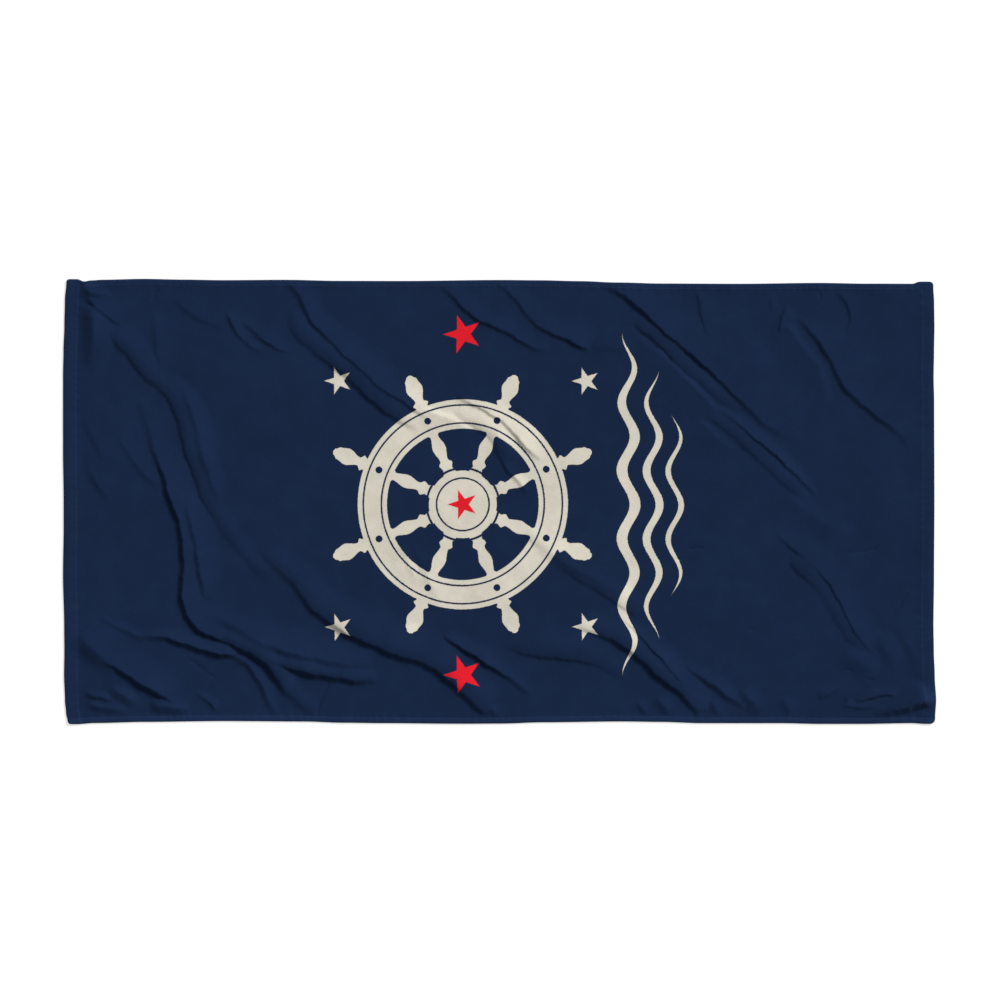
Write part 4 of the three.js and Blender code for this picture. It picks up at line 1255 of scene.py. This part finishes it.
class StageSizes(PropertyGroup):
    """The camera, the lights and the floor."""

    camera_place: FloatVectorProperty(
        name="Camera", description="Place of the camera, which looks straight down",
        default=(0.8 * MM, 2.6 * MM, 4.748), size=3, subtype="TRANSLATION", unit="LENGTH")
    lens: FloatProperty(
        name="Lens", description="Focal length in millimetres", default=100, unit="CAMERA")
    key_strength: FloatProperty(
        name="Key light", description="Strength of the main light", default=3.9)
    key_height: angle_property("Key height", "Angle of the main light over the floor", 40)
    key_way: angle_property(
        "Key direction", "Angle from +X to the side that the main light is on", 42)
    key_softness: angle_property("Key softness", "How wide the main light looks from the towel", 22)
    fill_strength: FloatProperty(
        name="Fill light", description="Strength of the light from all round", default=0.36)
    floor_half: length_property("Floor", "From the middle of the floor to its sides", 15000, 1000, 50000)
    floor_depth: length_property("Floor depth", "How far the floor is under the towel", 0.5, 0, 5)


class TowelSettings(PropertyGroup):
    """All that can be changed on the towel."""

    sizes: PointerProperty(type=TowelSizes)
    stitches: PointerProperty(type=StitchSizes)
    colours: PointerProperty(type=TowelColours)
    stage: PointerProperty(type=StageSizes)


class TOWEL_OT_cloth(Operator):
    """Make the cloth, with its folds, hems and print"""

    bl_idname = "towel.cloth"
    bl_label = "Make the cloth"

    def execute(self, context):
        settings = context.scene.beach_towel
        sizes = settings.sizes
        cloth = Cloth(sizes)
        mesh = cloth_mesh(cloth, "towel_cloth", sizes.face_stray / MM, sizes.back_stray / MM)
        mesh.materials.append(velour(settings.colours, cloth))
        mesh.materials.append(terry(settings.colours))
        piece = add_object("towel_cloth", mesh)
        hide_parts("towel")
        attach(piece, "root")
        return {"FINISHED"}


class TOWEL_OT_stitches(Operator):
    """Sew the hems' rows of stitches"""

    bl_idname = "towel.stitches"
    bl_label = "Sew the hems"

    def execute(self, context):
        settings = context.scene.beach_towel
        sizes = settings.sizes
        points, ups, edges = [], [], []
        for line, up in stitch_lines(Cloth(sizes)):
            edges += [(i, i + 1) for i in range(len(points), len(points) + len(line) - 1)]
            points += line.tolist()
            ups += up.tolist()
        mesh = bpy.data.meshes.new("stitch_lines")
        mesh.from_pydata(points, edges, [])
        attribute = mesh.attributes.new("up", "FLOAT_VECTOR", "POINT")
        attribute.data.foreach_set("vector", np.ravel(ups))
        piece = add_object("hem_stitches", mesh)
        modifier = piece.modifiers.new("stitches", "NODES")
        modifier.node_group = stitch_tree(thread(settings.colours))
        given = {
            "Step": settings.stitches.step,
            "Stitch length": settings.stitches.length,
            "Thread width": settings.stitches.thread,
            "Unevenness": settings.stitches.unevenness,
            "Seed": settings.stitches.seed,
        }
        for item in modifier.node_group.interface.items_tree:
            if item.name in given:
                modifier[item.identifier] = given[item.name]
        evaluated = piece.evaluated_get(context.evaluated_depsgraph_get())
        sewn = bpy.data.meshes.new_from_object(evaluated)
        piece.modifiers.remove(modifier)
        piece.data = sewn
        bpy.data.meshes.remove(mesh)
        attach(piece, "root")
        return {"FINISHED"}


class TOWEL_OT_stage(Operator):
    """Lay the floor and set the lights and the camera"""

    bl_idname = "towel.stage"
    bl_label = "Set the stage"

    def execute(self, context):
        stage = context.scene.beach_towel.stage
        half, z = stage.floor_half, -stage.floor_depth
        mesh = bpy.data.meshes.new("studio_floor")
        corners = [(x * half, y * half, z) for x, y in ((-1, -1), (1, -1), (1, 1), (-1, 1))]
        mesh.from_pydata(corners, [], [(0, 1, 2, 3)])
        mesh.materials.append(floor_finish())
        add_object("studio_floor", mesh)

        world = bpy.data.worlds.new("studio")
        world.use_nodes = True
        background = world.node_tree.nodes["Background"].inputs
        background["Color"].default_value = (1, 1, 1, 1)
        background["Strength"].default_value = stage.fill_strength
        context.scene.world = world

        light = bpy.data.lights.new("key_light", "SUN")
        light.energy = stage.key_strength
        light.angle = stage.key_softness
        key = add_object("key_light", light)
        key.rotation_euler = (0, math.pi / 2 - stage.key_height, stage.key_way)

        lens = bpy.data.cameras.new("camera")
        lens.lens = stage.lens
        camera = add_object("camera", lens)
        camera.location = stage.camera_place
        context.scene.camera = camera
        context.scene.view_settings.view_transform = "Standard"
        return {"FINISHED"}


class TOWEL_PT_panel(Panel):
    """The towel's sizes and colours, and the steps that make it"""

    bl_label = "Beach towel"
    bl_category = "Beach towel"
    bl_space_type = "VIEW_3D"
    bl_region_type = "UI"

    def draw(self, context):
        settings = context.scene.beach_towel
        for group, step in (
            (settings.sizes, TOWEL_OT_cloth),
            (settings.colours, None),
            (settings.stitches, TOWEL_OT_stitches),
            (settings.stage, TOWEL_OT_stage),
        ):
            box = self.layout.box()
            for name in group.__annotations__:
                box.prop(group, name)
            if step:
                box.operator(step.bl_idname)


CLASSES = (
    TowelSizes, StitchSizes, TowelColours, StageSizes, TowelSettings,
    TOWEL_OT_cloth, TOWEL_OT_stitches, TOWEL_OT_stage, TOWEL_PT_panel,
)


def register():
    for each in CLASSES:
        bpy.utils.register_class(each)
    bpy.types.Scene.beach_towel = PointerProperty(type=TowelSettings)


def unregister():
    del bpy.types.Scene.beach_towel
    for each in reversed(CLASSES):
        bpy.utils.unregister_class(each)


def main():
    register()
    bpy.ops.towel.cloth()
    bpy.ops.towel.stitches()
    bpy.ops.towel.stage()
    bpy.context.view_layer.update()


if __name__ == "__main__":
    main()
